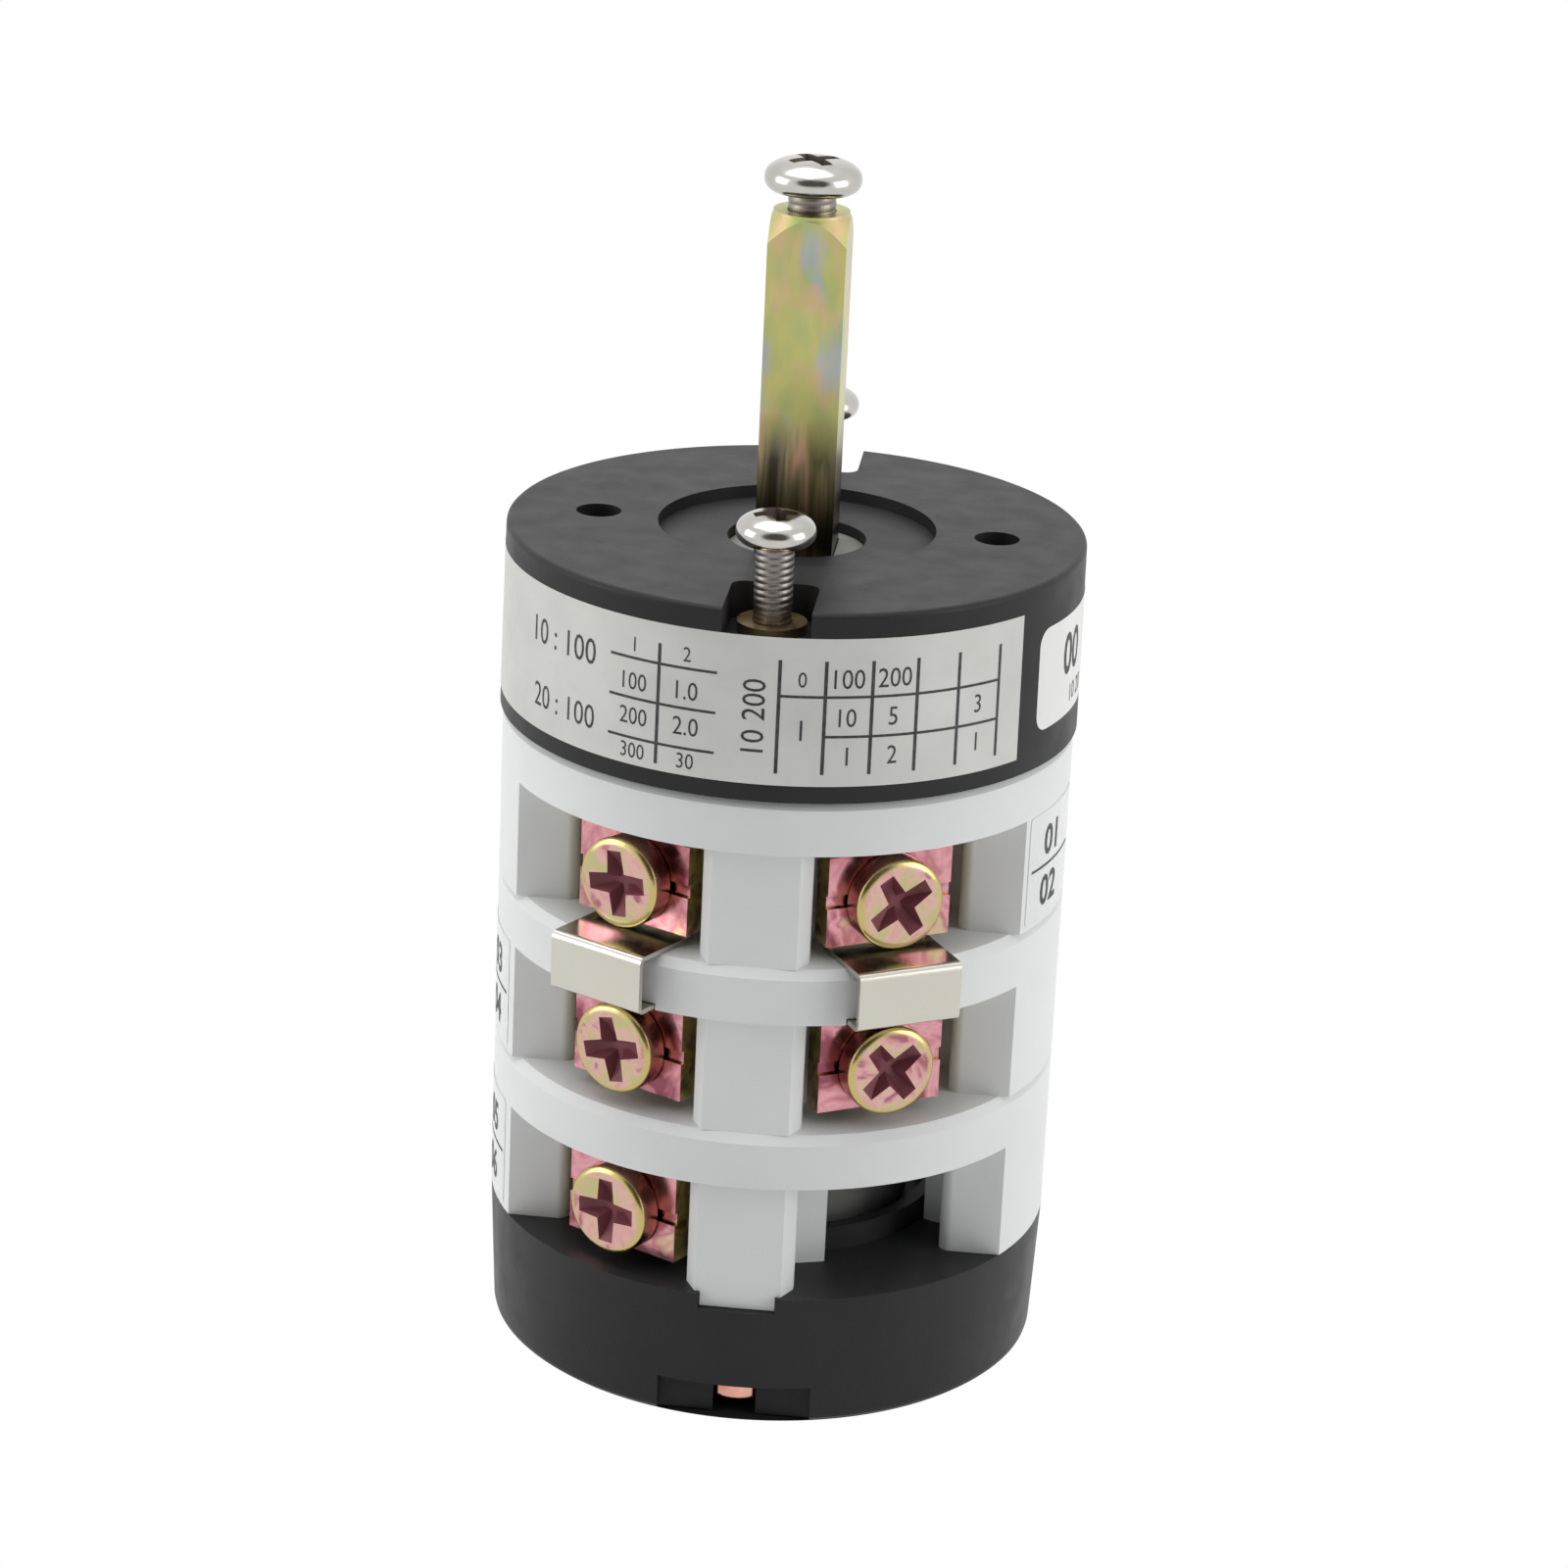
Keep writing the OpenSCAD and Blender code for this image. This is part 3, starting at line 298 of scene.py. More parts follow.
black = plastic("black_plastic", (0.025, 0.025, 0.026), (0.030, 0.030, 0.031),
    rough=0.42, grain=0.35, shine=0.15)
white = plastic("pale_plastic", (0.755, 0.77, 0.77), (0.785, 0.80, 0.80), rough=0.42, grain=0.12)
grey = plastic("grey_plastic", (0.16, 0.16, 0.155), (0.22, 0.22, 0.21), rough=0.5, grain=0.15)
hub_grey = plastic("hub_plastic", (0.20, 0.20, 0.185), (0.27, 0.27, 0.25), rough=0.45, grain=0.12)
nickel = metal("bright_nickel", between((0.585, 0.561, 0.491), (0.624, 0.6, 0.53)),
    rough=0.2, scale=60, grain=0.015)
steel = metal("plain_steel", between((0.42, 0.43, 0.45), (0.58, 0.59, 0.60)), rough=0.3)
copper = metal("bare_copper", between((0.60, 0.32, 0.18), (0.78, 0.46, 0.28)), rough=0.32)
brass = metal("yellow_zinc",
    [(0.3, (0.60, 0.43, 0.22)), (0.5, (0.70, 0.55, 0.30)), (0.7, (0.66, 0.43, 0.27))], rough=0.3)
bolt_pink = metal("bolt_passivate", between((0.58, 0.26, 0.19), (0.80, 0.46, 0.36)), rough=0.25)
screw_finish = screw_metal()
nickel_screw = nickel_screw_metal()
ink = print_ink()
silver_label = label_stock("silver_label", (0.56, 0.56, 0.532), (0.627, 0.627, 0.598),
    rough=0.38, metallic=0.35)
white_label = label_stock("white_label", (0.76, 0.76, 0.75), (0.82, 0.82, 0.81),
    rough=0.42, metallic=0.0)
sticker = label_stock("clear_sticker", (0.74, 0.755, 0.755), (0.78, 0.79, 0.79),
    rough=0.3, metallic=0.0)

LEVELS = ("lower", "middle", "upper")
ENDS = ("front", "rear")


def each(stem, places):
    """The names of a node that is there once for each place."""
    return [stem + place for place in places]


LOOKS = {
    black: ["base", "detent_housing"],
    white: each("deck_", LEVELS),
    hub_grey: ["index_cam"],
    grey: each("rotor_", LEVELS),
    brass: each("sleeve_nut_", ENDS),
    bolt_pink: each("tie_bolt_", ENDS),
    clamp_metal(): each("clamp_plates_", LEVELS),
    nickel: each("jumper_link_", ("left", "right")),
    shaft_metal(): ["square_shaft"],
    steel: ["retaining_clip", "thrust_washer", "stop_plate"] + each("detent_spring_", ENDS)
        + each("bridge_spring_", LEVELS),
    copper: [name for name in nodes
        if name.startswith(("contact_", "bridge_")) and "spring" not in name],
}
for finish, names in LOOKS.items():
    for name in names:
        nodes[name].data.materials.clear()
        nodes[name].data.materials.append(finish)


# Mesh helpers

def on_circle(radius, angle, z):
    """A point round the Z axis: sizes in millimetres, the angle in radians, the point in metres."""
    return (radius * MM * math.cos(angle), radius * MM * math.sin(angle), z * MM)


def evaluated_mesh(piece):
    """A copy of an object's mesh with its modifiers applied."""
    depsgraph = bpy.context.evaluated_depsgraph_get()
    return bpy.data.meshes.new_from_object(piece.evaluated_get(depsgraph))


def linked(name, data):
    """A new object in the scene."""
    made = bpy.data.objects.new(name, data)
    bpy.context.scene.collection.objects.link(made)
    return made


def new_mesh(name, bm, material=None):
    mesh = bpy.data.meshes.new(name)
    bm.to_mesh(mesh)
    bm.free()
    if material:
        mesh.materials.append(material)
    return mesh


def lathe(bm, profile, steps):
    """Turns (radius, height) points, in millimetres, round the Z axis."""
    turn = 2 * math.pi / steps
    rings = []
    for r, z in profile:
        count = steps if r else 1
        rings.append([bm.verts.new(on_circle(r, turn * i, z)) for i in range(count)])
    for a, b in zip(rings, rings[1:]):
        for i in range(steps):
            j = (i + 1) % steps
            if len(a) == 1:
                bm.faces.new((a[0], b[i], b[j]))
            elif len(b) == 1:
                bm.faces.new((a[i], b[0], a[j]))
            else:
                bm.faces.new((a[i], b[i], b[j], a[j]))
    bmesh.ops.recalc_face_normals(bm, faces=bm.faces)


# Screws, drawn in millimetres with the seat of the head at z = 0

# Steps round a head and along each arc of its profile
HEAD_STEPS = 96
ARC_STEPS = 10
# Edges that turn by more than this stay sharp
SHARP = math.radians(32)
# A cross recess from its mouth down, as shares of its depth and of its size at the mouth
CROSS_RINGS = ((0.0, 1.0), (0.55, 0.72), (1.0, 0.34))
CROSS_CORNER = 1.25
CUTTER_OVER = 1.0
# What counts as inside the recess: its walls and what lies below a share of its depth
RECESS_REACH = 1.02
RECESS_UNDER = 0.1
RECESS_MOUTH = 0.4
WALL_SLOPE = 0.9
# Steps round a thread and rows along each pitch, the steepness of its flanks, and its end
THREAD_STEPS = 48
THREAD_ROWS = 10
THREAD_STEEPNESS = 1.3
THREAD_IN_HEAD = 0.05
TIP_LENGTH = 0.6
TIP_TAPER = 0.8


def head_profile(radius, height, side_share, flat_share, edge):
    """Profile of a screw head from its underside up: rounded edge, straight side, domed top.

    side_share is how much of the height is straight, flat_share how much of the radius is flat.
    """
    side = height * side_share
    reach = radius * (1 - flat_share)
    quarter = [math.radians(90 * i / ARC_STEPS) for i in range(ARC_STEPS + 1)]
    points = [(0, 0)]
    points += [(radius - edge * (1 - math.sin(a)), edge * (1 - math.cos(a))) for a in quarter]
    points += [(radius - reach * (1 - math.cos(a)), side + (height - side) * math.sin(a))
        for a in quarter]
    return points + [(0, height)]


def cross_tool(arm, half_width, depth, top):
    """Tapered cross that cuts a recess into a head whose top is at a height."""
    bm = bmesh.new()
    w, a, c = half_width, arm, half_width * CROSS_CORNER
    plan = [(a, -w), (a, w), (c, c), (w, a), (-w, a), (-c, c),
        (-a, w), (-a, -w), (-c, -c), (-w, -a), (w, -a), (c, -c)]
    levels = [(top + CUTTER_OVER, 1.0)] + [(top - depth * down, size) for down, size in CROSS_RINGS]
    rings = [[bm.verts.new((x * size * MM, y * size * MM, z * MM)) for x, y in plan]
        for z, size in levels]
    for upper, lower in zip(rings, rings[1:]):
        for i in range(len(plan)):
            j = (i + 1) % len(plan)
            bm.faces.new((upper[i], upper[j], lower[j], lower[i]))
    bm.faces.new(rings[0])
    bm.faces.new(rings[-1][::-1])
    bmesh.ops.recalc_face_normals(bm, faces=bm.faces)
    return linked("cutter", new_mesh("cutter", bm))


def head_mesh(name, head, cross, material):
    """A screw head with a cross recess, which stores how far out each place is and whether it lies
    in the recess, where shade is painted.
    """
    bm = bmesh.new()
    lathe(bm, head_profile(**head), HEAD_STEPS)
    for face in bm.faces:
        face.smooth = True
    blank = linked(name, new_mesh(name, bm, material))
    radius, top, depth = head["radius"], head["height"], cross["depth"]
    tool = cross_tool(**cross, top=top)
    cut = blank.modifiers.new("recess", "BOOLEAN")
    cut.operation = "DIFFERENCE"
    cut.object = tool
    cut.solver = "EXACT"
    mesh = evaluated_mesh(blank)
    bpy.data.objects.remove(blank)
    bpy.data.objects.remove(tool)
    radial = mesh.attributes.new("radial", "FLOAT", "POINT")
    deep = mesh.attributes.new("deep", "FLOAT", "CORNER")
    for v in mesh.vertices:
        radial.data[v.index].value = math.hypot(v.co.x, v.co.y) / (radius * MM)
    for polygon in mesh.polygons:
        middle = polygon.center / MM
        near = math.hypot(middle.x, middle.y) < cross["arm"] * RECESS_REACH
        inside = near and middle.z > top - depth - RECESS_UNDER
        low = middle.z < top - depth * RECESS_MOUTH
        recess = inside and (low or polygon.normal.z < WALL_SLOPE)
        for corner in polygon.loop_indices:
            deep.data[corner].value = 1.0 if recess else 0.0
        polygon.use_smooth = True
    mesh.set_sharp_from_angle(angle=SHARP)
    mesh.materials.clear()
    mesh.materials.append(material)
    return mesh


def shank_mesh(name, radius, length, pitch, depth, thread_shade_and_dull, material):
    """A threaded shank below the head, tapered at its tip."""
    bm = bmesh.new()
    low, high = -length, THREAD_IN_HEAD
    rows = int((high - low) / pitch * THREAD_ROWS) + 1
    grid = []
    for j in range(rows + 1):
        z = low + (high - low) * j / rows
        row = []
        for i in range(THREAD_STEPS):
            phase = (z / pitch - i / THREAD_STEPS) % 1.0
            ridge = 1 - abs(2 * phase - 1)
            r = radius - depth * (1 - min(1.0, ridge * THREAD_STEEPNESS))
            r -= max(0.0, TIP_LENGTH - (z - low)) * TIP_TAPER
            row.append(bm.verts.new(on_circle(r, 2 * math.pi * i / THREAD_STEPS, z)))
        grid.append(row)
    for a, b in zip(grid, grid[1:]):
        for i in range(THREAD_STEPS):
            j = (i + 1) % THREAD_STEPS
            bm.faces.new((a[i], a[j], b[j], b[i]))
    bm.faces.new(grid[0][::-1])
    bm.faces.new(grid[-1])
    shank = new_mesh(name, bm, material)
    # The shank stores how much painted shade and dullness its thread gets
    for attribute, domain, value in (("radial", "POINT", 1.0), ("deep", "CORNER", thread_shade_and_dull)):
        for item in shank.attributes.new(attribute, "FLOAT", domain).data:
            item.value = value
    return shank


def joined(name, parts, material, body):
    """One object from (mesh, matrix) pairs; the values stored on the meshes are kept."""
    made = []
    for mesh, matrix in parts:
        piece = linked(name, mesh.copy())
        piece.data.transform(matrix)
        made.append(piece)
    with bpy.context.temp_override(active_object=made[0], selected_editable_objects=made,
            object=made[0], selected_objects=made):
        bpy.ops.object.join()
    made[0].name = name
    made[0].data.materials.clear()
    made[0].data.materials.append(material)
    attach(made[0], body)
    return made[0]


# The foot of each deck is one pitch from the next; the lowest deck's own box starts lower
MIDDLE_FOOT = box_mm("deck_middle")[0][2]
UPPER_FOOT = box_mm("deck_upper")[0][2]
DECKS = {"lower": 2 * MIDDLE_FOOT - UPPER_FOOT, "middle": MIDDLE_FOOT, "upper": UPPER_FOOT}

# Terminal screws: their height over a deck's foot and how far from the axis their heads seat
TERMINAL_Z = 6.3
TERMINAL_SEAT = 26.1
TERMINAL_HEAD = {"radius": 4.8, "height": 2.8, "side_share": 0.8, "flat_share": 0.8, "edge": 0.25}
TERMINAL_CROSS = {"arm": 3.45, "half_width": 0.85, "depth": 1.5}
TERMINAL_SHANK = {"radius": 2.45, "length": 5.6, "pitch": 0.8, "depth": 0.3, "thread_shade_and_dull": 0.0}
# Azimuth of each terminal, and how far its cross is turned at each deck
FRONT_LEFT, FRONT_RIGHT, REAR_LEFT, REAR_RIGHT = 240, 300, 120, 60
CLOCKS = {
    "lower": {FRONT_LEFT: 2, REAR_LEFT: 40},
    "middle": {FRONT_LEFT: 14, FRONT_RIGHT: 38, REAR_LEFT: 70, REAR_RIGHT: 5},
    "upper": {FRONT_LEFT: 8, FRONT_RIGHT: 32, REAR_LEFT: 55, REAR_RIGHT: 20},
}


def terminal_matrix(azimuth, foot, clock):
    """Stands a screw's +Z along the terminal's outward line."""
    a = math.radians(azimuth)
    out = Vector((math.cos(a), math.sin(a), 0))
    side = Vector((-math.sin(a), math.cos(a), 0))
    up = Vector((0, 0, 1))
    turned = Matrix((side, up, out)).transposed().to_4x4()
    place = out * TERMINAL_SEAT * MM + up * (foot + TERMINAL_Z) * MM
    spun = Matrix.Rotation(math.radians(clock), 4, "Z")
    return Matrix.Translation(place) @ turned @ spun


terminal_head = head_mesh("terminal_head", TERMINAL_HEAD, TERMINAL_CROSS, screw_finish)
terminal_shank = shank_mesh("terminal_shank", **TERMINAL_SHANK, material=screw_finish)
for deck, clocks in CLOCKS.items():
    parts = []
    for azimuth, clock in clocks.items():
        matrix = terminal_matrix(azimuth, DECKS[deck], clock)
        parts += [(terminal_head, matrix), (terminal_shank, matrix)]
    screws = joined("screws_" + deck, parts, screw_finish, "stator")
    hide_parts("terminal_screws_" + deck)

# Pan-head screws: the radius of the head and the length come from the CAD screw
PAN = {"side_share": 0.45, "flat_share": 0.32}
# A pan screw's thread is painted darker, as the shade under its head, and is also duller
PAN_THREAD = {"depth": 0.06, "thread_shade_and_dull": 0.6}
MOUNTING_HEAD = {**PAN, "height": 3.1, "edge": 1.25}
MOUNTING_CROSS = {"arm": 2.35, "half_width": 0.62, "depth": 2.3}
MOUNTING_SHANK = {**PAN_THREAD, "radius": 1.95, "pitch": 0.7}
HANDLE_HEAD = {**PAN, "height": 3.3, "edge": 1.2}
HANDLE_CROSS = {"arm": 2.8, "half_width": 0.62, "depth": 2.0}
HANDLE_SHANK = {**PAN_THREAD, "radius": 2.45, "pitch": 0.8}


def pan_screw(name, node, body, head, cross, shank, clock):
    """A bright screw that stands for an upright CAD screw."""
    low, high = box_mm(node)
    seat = high[2] - head["height"]
    head_part = head_mesh(name + "_head", {**head, "radius": high[0]}, cross, nickel_screw)
    shank_part = shank_mesh(name + "_shank", **shank, length=round(seat - low[2], 3),
        material=nickel_screw)
    place = Matrix.Translation((0, (low[1] + high[1]) / 2 * MM, seat * MM))
    matrix = place @ Matrix.Rotation(math.radians(clock), 4, "Z")
    made = joined(name, [(head_part, matrix), (shank_part, matrix)], nickel_screw, body)
    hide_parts(node)


for end, clock in zip(ENDS, (20, 65)):
    pan_screw("screw_" + end, "mounting_screw_" + end, "stator",
        MOUNTING_HEAD, MOUNTING_CROSS, MOUNTING_SHANK, clock)
pan_screw("screw_handle", "handle_screw", "shaft", HANDLE_HEAD, HANDLE_CROSS, HANDLE_SHANK, 35)


# Labels, drawn flat in millimetres: the arc from the front line at WRAP_R, and the height

WRAP_R = 30.0
WRAP_STEP = 0.75
# How far labels, stickers and their print stand off the wall behind them
LABEL_LIFT = 0.02
PRINT_LIFT = 0.035
STICKER_LIFT = 0.035
MARK_LIFT = 0.06
# The widths of ruled lines, and how much bold numerals are widened
UPRIGHT_WIDTH = 0.36
LEVEL_WIDTH = 0.28
BOLD = 0.02
CORNER_STEPS = 6
# The walls that carry them
HOUSING_LOW, HOUSING_HIGH = box_mm("detent_housing")
HOUSING_TAPER = 0.2
DECK_R = box_mm("deck_upper")[1][0]


def housing_radius(z):
    """The housing's radius at a height; it is narrower at its top by the taper."""
    share = (z - HOUSING_LOW[2]) / (HOUSING_HIGH[2] - HOUSING_LOW[2])
    return HOUSING_HIGH[0] - HOUSING_TAPER * share


def deck_radius(z):
    return DECK_R


def arc(azimuth):
    """Arc length from the front line to an azimuth in degrees."""
    return math.radians(azimuth + 90) * WRAP_R


def bend(bm, radius_at, lift):
    """Bends flat faces round the drum, with their fronts outwards."""
    for v in bm.verts:
        u, z = v.co.x, v.co.y
        v.co = on_circle(radius_at(z) + lift, math.radians(-90) + u / WRAP_R, z)
    for face in bm.faces:
        face.normal_update()
        if face.normal.dot(face.calc_center_median()) < 0:
            face.normal_flip()


def wrapped(name, flat, radius_at, lift, material):
    """Wraps flat faces round the drum, cut into strips that are narrow enough to bend."""
    low = min(v.co.x for v in flat.verts)
    high = max(v.co.x for v in flat.verts)
    at = math.floor(low)
    while at < high:
        geometry = flat.verts[:] + flat.edges[:] + flat.faces[:]
        bmesh.ops.bisect_plane(flat, geom=geometry, plane_co=(at, 0, 0), plane_no=(1, 0, 0))
        at += WRAP_STEP
    bend(flat, radius_at, lift)
    for face in flat.faces:
        face.smooth = True
    made = linked(name, new_mesh(name, flat, material))
    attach(made, "stator")


def drawn(outlines):
    """Flat faces from outlines."""
    bm = bmesh.new()
    for outline in outlines:
        bm.faces.new([bm.verts.new((u, v, 0)) for u, v in outline])
    return bm


def box_outline(u0, u1, v0, v1):
    return [(u0, v0), (u1, v0), (u1, v1), (u0, v1)]


def round_box(u0, u1, v0, v1, r):
    """A box outline with rounded corners."""
    left, right, foot, top = u0 + r, u1 - r, v0 + r, v1 - r
    points = []
    for u, v, start in ((right, foot, -90), (right, top, 0), (left, top, 90), (left, foot, 180)):
        for i in range(CORNER_STEPS + 1):
            a = math.radians(start + 90 * i / CORNER_STEPS)
            points.append((u + r * math.cos(a), v + r * math.sin(a)))
    return points


def upright_line(u, v0, v1):
    return box_outline(u - UPRIGHT_WIDTH / 2, u + UPRIGHT_WIDTH / 2, v0, v1)


def level_line(u0, u1, v):
    return box_outline(u0, u1, v - LEVEL_WIDTH / 2, v + LEVEL_WIDTH / 2)


def add_numerals(bm, text, u, v, height, squeeze=0.85, upright=False, weight=0.0):
    """Adds plain numerals of a given height, centred on a place."""
    curve = bpy.data.curves.new("numerals", "FONT")
    curve.body = text
    curve.resolution_u = 3
    curve.offset = weight
    holder = linked("numerals", curve)
    mesh = evaluated_mesh(holder)
    bpy.data.objects.remove(holder)
    xs = [p.co.x for p in mesh.vertices]
    ys = [p.co.y for p in mesh.vertices]
    scale = height / (max(ys) - min(ys))
    place = Matrix.Translation((u, v, 0))
    if upright:
        place = place @ Matrix.Rotation(math.radians(90), 4, "Z")
    centre = Matrix.Translation((-(max(xs) + min(xs)) / 2, -(max(ys) + min(ys)) / 2, 0))
    mesh.transform(place @ Matrix.Diagonal((scale * squeeze, scale, 1, 1)) @ centre)
    bm.from_mesh(mesh)
    bpy.data.meshes.remove(mesh)


# The silver data label has two ruled tables, and a ratio beside each half of the left one
DATA_LABEL = box_outline(arc(-200), arc(-35), 70.8, 86.1)
LEFT_COLUMNS, LEFT_ROWS = (-16.45, -10.75, -4.65), (81.9, 77.75, 73.6)
LEFT_FOOT, LEFT_TOP = 71.5, 84.0
RIGHT_COLUMNS = (1.55, 6.1, 10.8, 15.5, 20.2, 25.4)
RIGHT_FOOT, RIGHT_ROW, RIGHT_HEAD_ROW, RIGHT_TOP = 72.05, 76.0, 80.1, 83.8
# Text, arc and height of its middle, size
NUMERALS = [
    ("1", -13.6, 83.35, 1.5), ("2", -7.8, 83.35, 1.5),
    ("100", -13.5, 79.5, 1.8), ("1.0", -7.7, 79.6, 1.9),
    ("200", -13.5, 75.9, 1.8), ("2.0", -7.7, 75.9, 1.9),
    ("300", -13.45, 72.3, 1.6), ("30", -7.6, 72.3, 1.6),
    ("0", 3.8, 81.85, 1.6), ("100", 8.45, 81.95, 2.0), ("200", 13.1, 82.0, 2.0),
    ("1", 3.85, 76.6, 2.1), ("10", 8.4, 77.95, 1.9), ("5", 13.05, 78.0, 1.9),
    ("1", 8.5, 73.95, 1.9), ("2", 13.1, 74.0, 1.9),
    ("3", 22.7, 78.1, 1.9), ("1", 22.7, 74.1, 1.9),
    ("10 : 100", -23.4, 81.3, 2.7), ("20 : 100", -23.2, 74.5, 2.5)]
UPRIGHT_NUMERALS = ("10 200", -0.9, 77.9, 2.3, 0.9)


def label_print():
    """The data label's ruled lines and numerals."""
    lines = [upright_line(LEFT_COLUMNS[1], LEFT_FOOT, LEFT_TOP)]
    lines += [level_line(LEFT_COLUMNS[0], LEFT_COLUMNS[2], v) for v in LEFT_ROWS]
    lines += [upright_line(u, RIGHT_FOOT, RIGHT_TOP) for u in RIGHT_COLUMNS]
    # The first cell of the right table spans its two lower rows
    lines += [level_line(RIGHT_COLUMNS[0], RIGHT_COLUMNS[-1], RIGHT_HEAD_ROW),
        level_line(RIGHT_COLUMNS[1], RIGHT_COLUMNS[-1], RIGHT_ROW)]
    marks = drawn(lines)
    for numeral in NUMERALS:
        add_numerals(marks, *numeral)
    add_numerals(marks, *UPRIGHT_NUMERALS, upright=True)
    wrapped("label_print", marks, housing_radius, PRINT_LIFT, ink)


# The white label at the right has rounded corners and two numerals
ROUND_LABEL = round_box(arc(-29), arc(36), 72.8, 83.7, 1.8)
LARGE_MARK = ("00", 40.2, 79.5, 4.6)
SMALL_MARK = ("10 20", 42.5, 74.9, 1.9)


def round_label_print():
    marks = bmesh.new()
    add_numerals(marks, *LARGE_MARK, weight=BOLD)
    add_numerals(marks, *SMALL_MARK)
    wrapped("round_label_print", marks, housing_radius, PRINT_LIFT, ink)


# Deck stickers have a numeral over and under a line. The sticker rises from the deck's foot,
# the line from the sticker's, and the numerals' middles lie over and under the line.
STICKER_RISE, STICKER_H, STICKER_W, STICKER_CORNER = 0.5, 11.9, 13.0, 0.5
LINE_RISE, LINE_INSET = 5.796, 0.7
MARK_IN, MARK_UP, MARK_DOWN, MARK_H = 5.2, 2.7, 2.8, 3.4


def deck_sticker(name, edge, deck, upper, lower):
    """A sticker on a deck's side block, outwards from the edge that is nearest the front."""
    away = math.copysign(1, edge)
    left, right = sorted((edge, edge + away * STICKER_W))
    foot = DECKS[deck] + STICKER_RISE
    middle = foot + LINE_RISE
    centre = edge + away * MARK_IN
    outline = round_box(left, right, foot, foot + STICKER_H, STICKER_CORNER)
    wrapped(name, drawn([outline]), deck_radius, STICKER_LIFT, sticker)
    marks = drawn([level_line(left + LINE_INSET, right - LINE_INSET, middle)])
    for text, height in ((upper, middle + MARK_UP), (lower, middle - MARK_DOWN)):
        add_numerals(marks, text, centre, height, MARK_H, squeeze=1.0, weight=BOLD)
    wrapped(name + "_print", marks, deck_radius, MARK_LIFT, ink)


wrapped("data_label", drawn([DATA_LABEL]), housing_radius, LABEL_LIFT, silver_label)
wrapped("round_label", drawn([ROUND_LABEL]), housing_radius, LABEL_LIFT, white_label)
label_print()
round_label_print()
deck_sticker("sticker_right_upper", 32.8, "upper", "01", "02")
deck_sticker("sticker_left_middle", -33.6, "middle", "03", "04")
deck_sticker("sticker_left_lower", -33.6, "lower", "05", "06")


# Floor, light and camera

FLOOR_HALF = 1.5
FLOOR_DROP = 0.0002
# Painted shadow: the floor is dark within this radius, which the switch hides
UNDER_R = 0.0285
UNDER_SHADOW_GREY, FLOOR_GREY = (0.03, 0.03, 0.03), (0.62, 0.62, 0.62)
# The tent's brightness from below to above
TENT = [(0.0, (0.6, 0.6, 0.6)), (0.5, (0.62, 0.62, 0.62)), (0.75, (0.75, 0.75, 0.75)),
    (1.0, (0.9, 0.9, 0.9))]
# The tent is dimmer at the front, and has a dark opening towards the camera
FRONT_SHADE = 0.45
FRONT_RANGE = (-1.0, 0.1)
OPENING = (0.080, -0.936, 0.343)
OPENING_EDGE = [(0.72, (1, 1, 1)), (0.86, (0.10, 0.09, 0.08))]


def direct_ray(tree, path):
    """1 for the rays that show the background: camera, glossy and transmission rays."""
    seen = path["Is Camera Ray"]
    for other in ("Is Glossy Ray", "Is Transmission Ray"):
        seen = maths(tree, "MAXIMUM", seen, path[other])
    return seen


def stage_material():
    """White where it is seen directly, a plain grey for other rays, and a painted shadow under the
    switch.
    """
    material, tree = new_material("pale_stage")
    seen = direct_ray(tree, add(tree, "ShaderNodeLightPath").outputs)
    away = add(tree, "ShaderNodeVectorMath", {0: object_place(tree)}, operation="LENGTH")
    open_floor = maths(tree, "GREATER_THAN", away.outputs["Value"], UNDER_R)
    shade = ramp(tree, open_floor, [(0.4, UNDER_SHADOW_GREY), (0.6, FLOOR_GREY)])
    plain = add(tree, "ShaderNodeBsdfDiffuse", {"Color": shade})
    bright = add(tree, "ShaderNodeEmission", {"Color": (1, 1, 1, 1), "Strength": 1.0})
    both = add(tree, "ShaderNodeMixShader", {0: maths(tree, "MULTIPLY", seen, open_floor),
        1: plain.outputs[0], 2: bright.outputs[0]})
    add(tree, "ShaderNodeOutputMaterial", {"Surface": both.outputs[0]})
    return material


def stage_floor():
    bm = bmesh.new()
    bmesh.ops.create_grid(bm, x_segments=1, y_segments=1, size=FLOOR_HALF)
    floor = linked("floor", new_mesh("floor", bm, stage_material()))
    floor.location = (0, 0, -FLOOR_DROP)


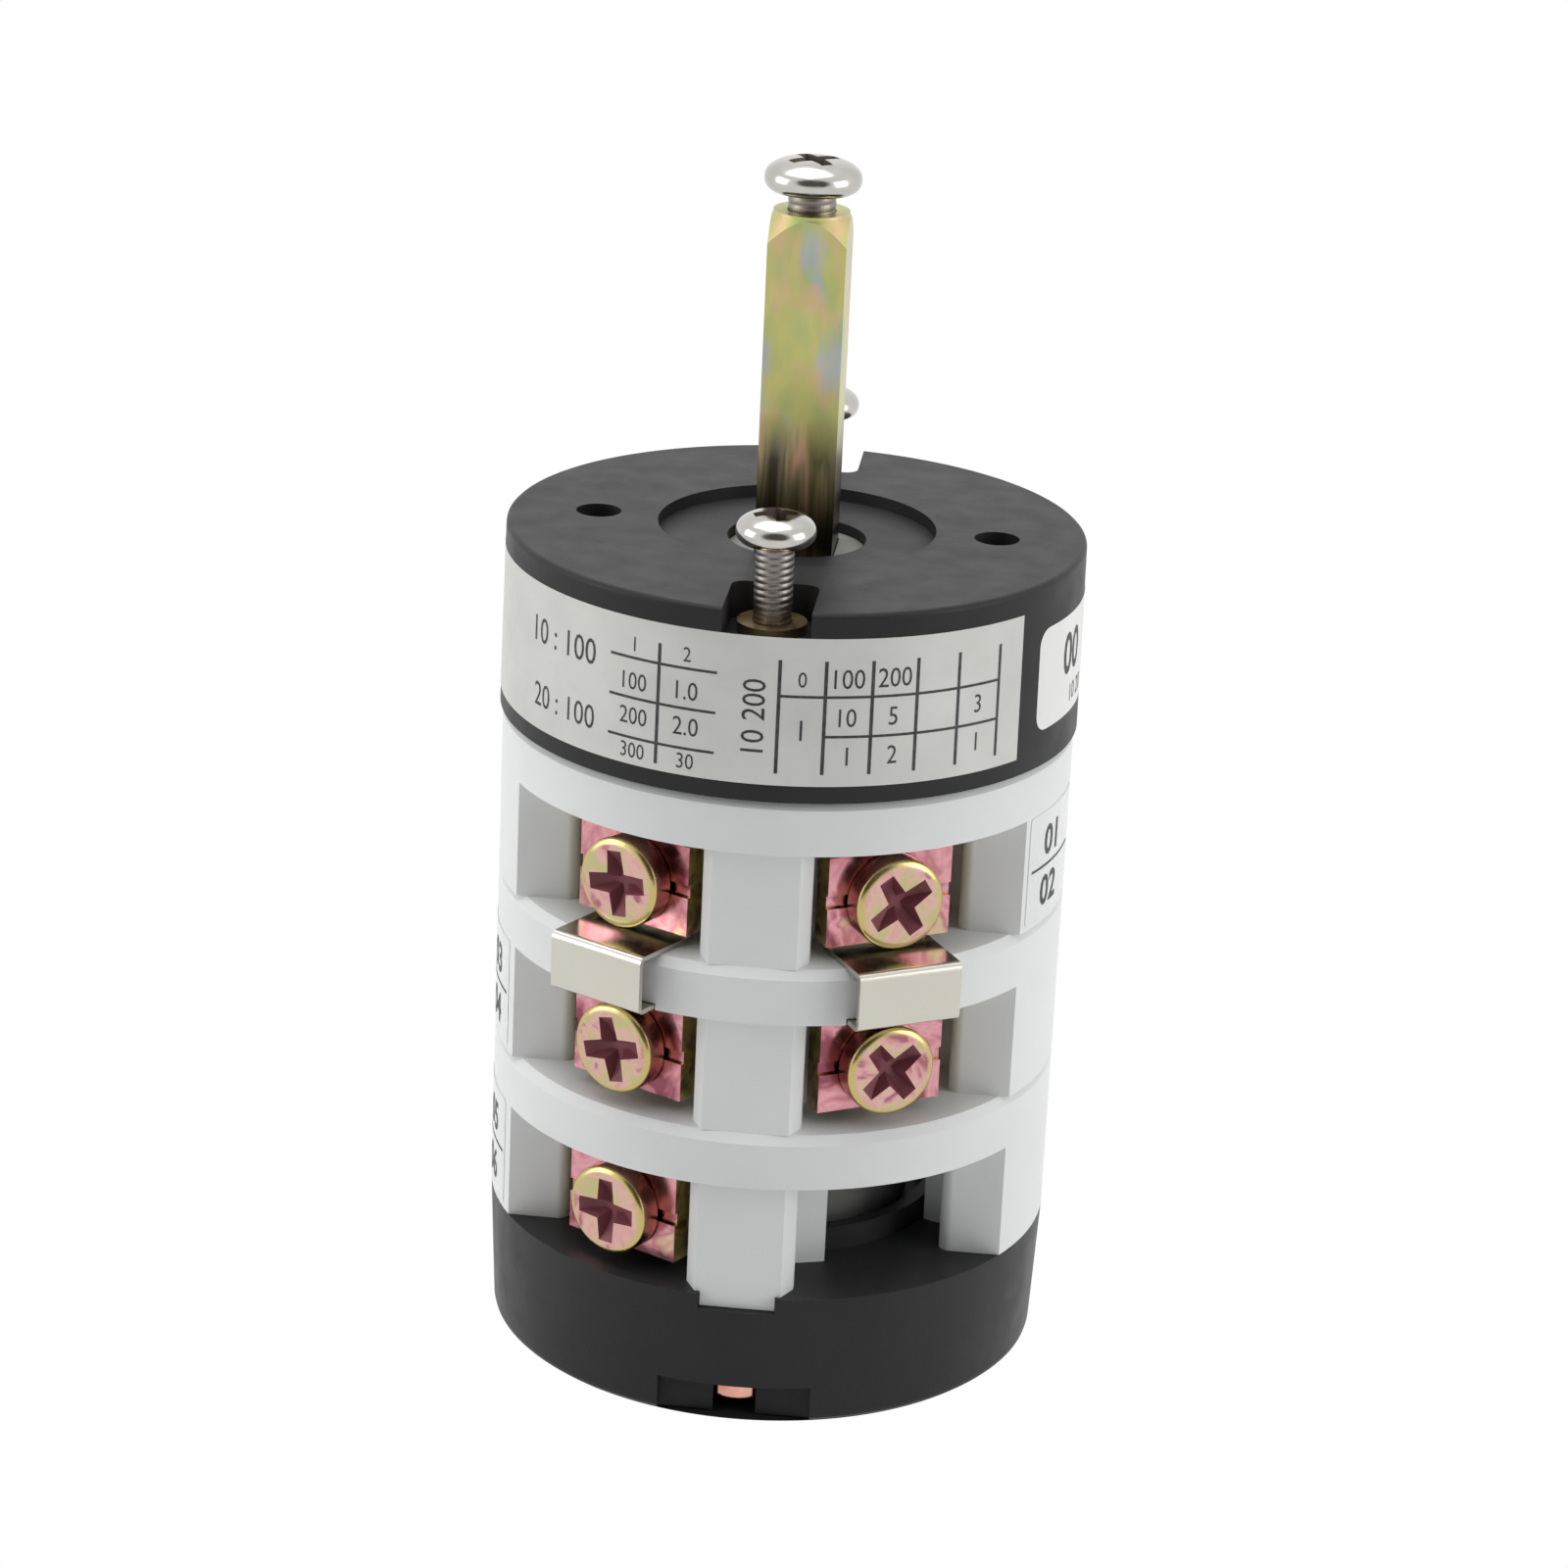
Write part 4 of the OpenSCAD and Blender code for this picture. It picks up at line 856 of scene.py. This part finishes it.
def studio_world():
    """A soft tent for the light, and a white background for direct rays.

    Mirrored rays see the dark opening too.
    """
    world = bpy.data.worlds.new("studio")
    bpy.context.scene.world = world
    world.use_nodes = True
    tree = world.node_tree
    tree.nodes.clear()
    direction = add(tree, "ShaderNodeTexCoord").outputs["Generated"]
    way = split(tree, direction)
    rise = spread(tree, way["Z"], 0.0, 1.0, (-1.0, 1.0))
    facing = add(tree, "ShaderNodeVectorMath", {0: direction, 1: OPENING}, operation="DOT_PRODUCT")
    opening = ramp(tree, facing.outputs["Value"], OPENING_EDGE)
    sky = mix(tree, 1.0, ramp(tree, rise, TENT), opening, "MULTIPLY")
    strength = spread(tree, way["Y"], FRONT_SHADE, 1.0, FRONT_RANGE)
    path = add(tree, "ShaderNodeLightPath").outputs
    soft = add(tree, "ShaderNodeBackground", {"Color": sky, "Strength": strength})
    shown = mix(tree, path["Is Camera Ray"], opening, (1.0, 1.0, 1.0))
    plain = add(tree, "ShaderNodeBackground", {"Color": shown, "Strength": 1.0})
    both = add(tree, "ShaderNodeMixShader",
        {0: direct_ray(tree, path), 1: soft.outputs[0], 2: plain.outputs[0]})
    add(tree, "ShaderNodeOutputWorld", {"Surface": both.outputs[0]})


def area_light(name, place, aim, size, watts):
    data = bpy.data.lights.new(name, "AREA")
    data.shape = "RECTANGLE"
    data.size, data.size_y = size
    data.energy = watts
    lamp = linked(name, data)
    lamp.location = place
    lamp.rotation_mode = "QUATERNION"
    lamp.rotation_quaternion = (Vector(aim) - Vector(place)).to_track_quat("-Z", "Y")


# The camera was fitted to the photograph with the CAD; places in metres, lens in millimetres
EYE = Vector((0.039198, -0.457531, 0.227542))
AIM = Vector((-0.00012, -0.00001, 0.059994))
ROLL = math.radians(2.673)
SENSOR_WIDTH = 36
LENS = 106.41
CLIP_START = 0.01


def photo_camera():
    forward = (AIM - EYE).normalized()
    right = forward.cross(Vector((0, 0, 1))).normalized()
    upward = right.cross(forward)
    right, upward = (right * math.cos(ROLL) + upward * math.sin(ROLL),
        upward * math.cos(ROLL) - right * math.sin(ROLL))
    lens = bpy.data.cameras.new("photo_camera")
    lens.sensor_width = SENSOR_WIDTH
    lens.lens = LENS
    lens.clip_start = CLIP_START
    camera = linked("photo_camera", lens)
    turned = Matrix((right, upward, -forward)).transposed().to_4x4()
    camera.matrix_world = Matrix.Translation(EYE) @ turned
    bpy.context.scene.camera = camera


stage_floor()
studio_world()
area_light("overhead", place=(-0.10, 0.10, 0.90), aim=(0, 0, 0.08), size=(0.7, 0.7), watts=4.9)
for side, away, watts in (("left", -0.85, 2.6), ("right", 0.85, 2.8)):
    area_light("side_" + side, place=(away, -0.22, 0.30), aim=(0, 0, 0.05), size=(0.5, 0.6),
        watts=watts)
photo_camera()
bpy.context.scene.view_settings.view_transform = "Standard"
